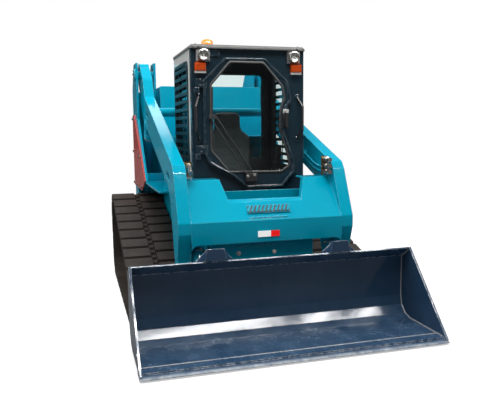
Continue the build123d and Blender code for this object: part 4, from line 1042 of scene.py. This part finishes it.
def swollen(name, shape, held, limit):
    """Blows a pad up as cloth from the first frame to the last with the held points fixed, and
    lets no point move more than the limit."""
    pad = settle(name, shape, seat_cover, "chassis")
    remesh = pad.modifiers.new("voxels", "REMESH")
    remesh.mode, remesh.voxel_size = "VOXEL", VOXEL
    remeshed = pad.evaluated_get(bpy.context.evaluated_depsgraph_get())
    mesh = bpy.data.meshes.new_from_object(remeshed)
    pad.modifiers.clear()
    pad.data = mesh
    mesh.materials.clear()
    mesh.materials.append(seat_cover)
    start = np.empty(len(mesh.vertices) * 3)
    mesh.vertices.foreach_get("co", start)
    start = start.reshape(-1, 3)
    moved = 0.0
    sewn = pad.vertex_groups.new(name="sewn")
    sewn.add(np.flatnonzero(held(start)).tolist(), 1.0, "REPLACE")
    cloth = pad.modifiers.new("swell", "CLOTH")
    cloth.settings.vertex_group_mass = "sewn"
    cloth.settings.use_pressure = True
    cloth.settings.uniform_pressure_force = PRESSURE
    cloth.settings.effector_weights.gravity = 0.0
    cloth.collision_settings.use_collision = False
    cloth.point_cache.frame_start, cloth.point_cache.frame_end = 1, LAST_FRAME
    for frame_number in range(1, LAST_FRAME + 1):
        scene.frame_set(frame_number)
    puffed = pad.evaluated_get(bpy.context.evaluated_depsgraph_get()).to_mesh()
    end = np.empty(len(puffed.vertices) * 3)
    puffed.vertices.foreach_get("co", end)
    move = end.reshape(-1, 3) - start
    moved = float(np.abs(move).max())
    far = np.linalg.norm(move, axis=1, keepdims=True)
    start = start + move * np.minimum(1, limit / np.maximum(far, 1e-9))
    pad.modifiers.clear()
    pad.vertex_groups.clear()
    mesh.vertices.foreach_set("co", start.ravel())
    scene.frame_set(1)
    mesh.shade_smooth()
    soft = pad.modifiers.new("smooth", "SUBSURF")
    soft.levels = soft.render_levels = 1
    made[name] = 8 * len(mesh.polygons)
    print(name, "moved up to", round(1000 * moved, 1), "mm before its limit")
    return pad, start


def near(value, *lines, width=0.0042):
    """True within half a seam's width of any of the lines."""
    return np.min(np.abs(np.asarray(value)[:, None] - np.asarray(lines)[None]), axis=1) < width


print("pads swell between their seams")

# %% Seat cushion
DOME = [(1.0, 0.0), (0.5, 0.0), (0.10, 0.0), (0.03, 0.006), (0.0, 0.022), (0.0, 0.048),
        (0.025, 0.064), (0.08, 0.071), (0.4, 0.076), (0.7, 0.079), (1.0, 0.080)]
CHANNELS, BOLSTER = (-0.185, -0.105, -0.025), 0.135


def cushion_held(p):
    """The resting underside, and on top the seams of the bolsters and of the channels between
    them."""
    x, y, z = p.T
    on_top = (z > 0.945) & (y > -0.225) & (y < 0.06)
    seams = near(np.abs(x), BOLSTER) | near(y, *CHANNELS) & (np.abs(x) < BOLSTER)
    return (z < 0.889) | on_top & seams


cushion_line = eased(box(-0.222, -0.165, 0.222, 0.165), 0.06, 9)
points, faces = pad_shape(cushion_line, DOME)
shape = (points + (0, -0.082, 0.883), faces)
cushion, cushion_points = swollen("seat_pad", shape, cushion_held, 0.024)
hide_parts("seat_cushion")
tell("seat_pad")

# %% Seat back
BACK_Y, BACK_Z, LEAN = 0.128, 1.272, 0.098
BACK_CHANNELS, BACK_BOLSTER = (1.085, 1.155, 1.225, 1.295), 0.125
HEAD_SEAM, HEAD_HALF = 1.402, 0.108
half_back = [(0.195, -0.262), (0.212, -0.06), (0.198, 0.062), (0.118, 0.112), (0.112, 0.165),
             (0.118, 0.235), (0.088, 0.264)]


def stood_up(p):
    """The pad on end: its outline's y becomes height, its thickness faces forward, and it leans
    5.6 degrees back."""
    height = BACK_Z + p[:, 1]
    return np.stack([p[:, 0], BACK_Y + LEAN * (height - BACK_Z) - p[:, 2], height], 1)


def back_held(p):
    """The back panel, the foot, and on the front the seams of the bolsters and of the channels
    between them."""
    x, y, z = p.T
    depth = BACK_Y + LEAN * (z - BACK_Z) - y
    on_front = (depth > 0.035) & (z > 1.04)
    bolster = near(np.abs(x), BACK_BOLSTER) & (z < 1.335)
    channels = near(z, *BACK_CHANNELS) & (np.abs(x) < BACK_BOLSTER)
    head = near(z, HEAD_SEAM) & (np.abs(x) < HEAD_HALF)
    return (depth < 0.005) | (z < 1.022) | on_front & (bolster | channels | head)


back_line = eased(half_back + [(-x, z) for x, z in half_back[::-1]], 0.045, 7)
points, faces = pad_shape(back_line, np.asarray(DOME) * (1, 0.62))
backrest, back_points = swollen("seat_back_pad", (stood_up(points), faces), back_held, 0.022)
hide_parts("seat_backrest")
tell("seat_back")

# %% Seat stitches
CUSHION_TOP, BACK_FRONT, STITCH = 0.965, 0.078, 0.009
RAISED, PROUD = (0, 0, 0.0012), (0, -0.0012, 0)


def seam(x, y, z):
    """A straight row of points, each coordinate a number or a row of numbers."""
    return np.stack(np.broadcast_arrays(x, y, z), 1)


def on_skin(path, skin_points, lift):
    """Path points moved to the nearest points of a swollen skin, then smoothed over three and
    lifted by a vector."""
    nearest = np.argmin(np.linalg.norm(path[:, None] - skin_points[None], axis=2), axis=1)
    laid = skin_points[nearest]
    laid[1:-1] = (laid[:-2] + laid[1:-1] + laid[2:]) / 3
    return laid + lift


def stitched(path):
    """A row of thread ends along a path: capsules 5.4 mm long and 1.6 mm thick, one every 9 mm."""
    thread = turned([(0, -0.0027), (0.0007, -0.0022), (0.0008, 0), (0.0007, 0.0022), (0, 0.0027)],
                    sides=6)
    path = spaced(path, STITCH)
    return copies(thread, path, np.gradient(path, axis=0))


along, over = np.linspace(-0.222, 0.058, 60), np.linspace(-0.132, 0.132, 60)
up, over_back = np.linspace(1.045, 1.333, 90), np.linspace(-0.122, 0.122, 60)
on_cushion = [seam(x, along, CUSHION_TOP) for x in (-BOLSTER, BOLSTER)]
on_cushion += [seam(over, y, CUSHION_TOP) for y in CHANNELS]
on_back = [seam(x, BACK_FRONT + LEAN * (up - BACK_Z), up) for x in (-BACK_BOLSTER, BACK_BOLSTER)]
on_back += [seam(over_back, BACK_FRONT + LEAN * (z - BACK_Z), z) for z in BACK_CHANNELS]
rows = [on_skin(path, cushion_points, RAISED) for path in on_cushion]
rows += [on_skin(path, back_points, PROUD) for path in on_back]
stitches = together(*[stitched(row) for row in rows])
settle("seat_stitches", stitches, thread_finish, "chassis", sharp=80)
tell("stitches")

# %% [markdown]
# ## Step sheet and latch
# The step on the sloping face has raised bars over a dark sheet, which is painted shade for the
# gaps between them, and the tailgate closes with a paddle latch in a dish. Both are flat
# outlines given a little height, so one helper makes them.

# %% Shade sheet and latch


def plate(outline, low, high, edge=0.0):
    """A flat outline between two heights, drawn in at its top edge by a share."""
    shoulder = high - 0.4 * (high - low)
    return pad_shape(outline, [(1, low), (0, low), (0, shoulder), (edge, high), (1, high)])


def laid(shape, origin, right, up):
    """A shape from its own frame to a place: origin + x * right + y * up + z * (right x up)."""
    points, faces = shape
    return np.asarray(origin) + points @ np.stack([right, up, np.cross(right, up)]), faces


SLOPE = ((0.012, -0.98204, 0.833), (1.0, 0, 0), (0, 0.6599, 0.7514))
LATCH = ((0.395, 1.684, 1.050), (-1.0, 0, 0), (0, 0, 1.0))
sheet = plate(eased(box(-0.152, -0.029, 0.152, 0.029), 0.006, 4), 0.009, 0.0115)
dish = plate(eased(box(-0.055, -0.036, 0.055, 0.036), 0.014, 6), -0.003, 0.005, 0.06)
lever = [(-0.038, -0.020), (0.038, -0.020), (0.034, 0.022), (-0.034, 0.022)]
paddle = plate(eased(lever, 0.009, 5), 0.004, 0.011, 0.12)
# The dark sheet between the bars is painted shade.
settle("step_painted_shade", laid(sheet, *SLOPE), slot_shade_finish, "arms")
settle("tailgate_latch", laid(dish, *LATCH), black_plastic, "tailgate")
settle("tailgate_paddle", laid(paddle, *LATCH), zinc, "tailgate")
tell("sheet", "latch", "paddle")

# %% Sizes
low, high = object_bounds()
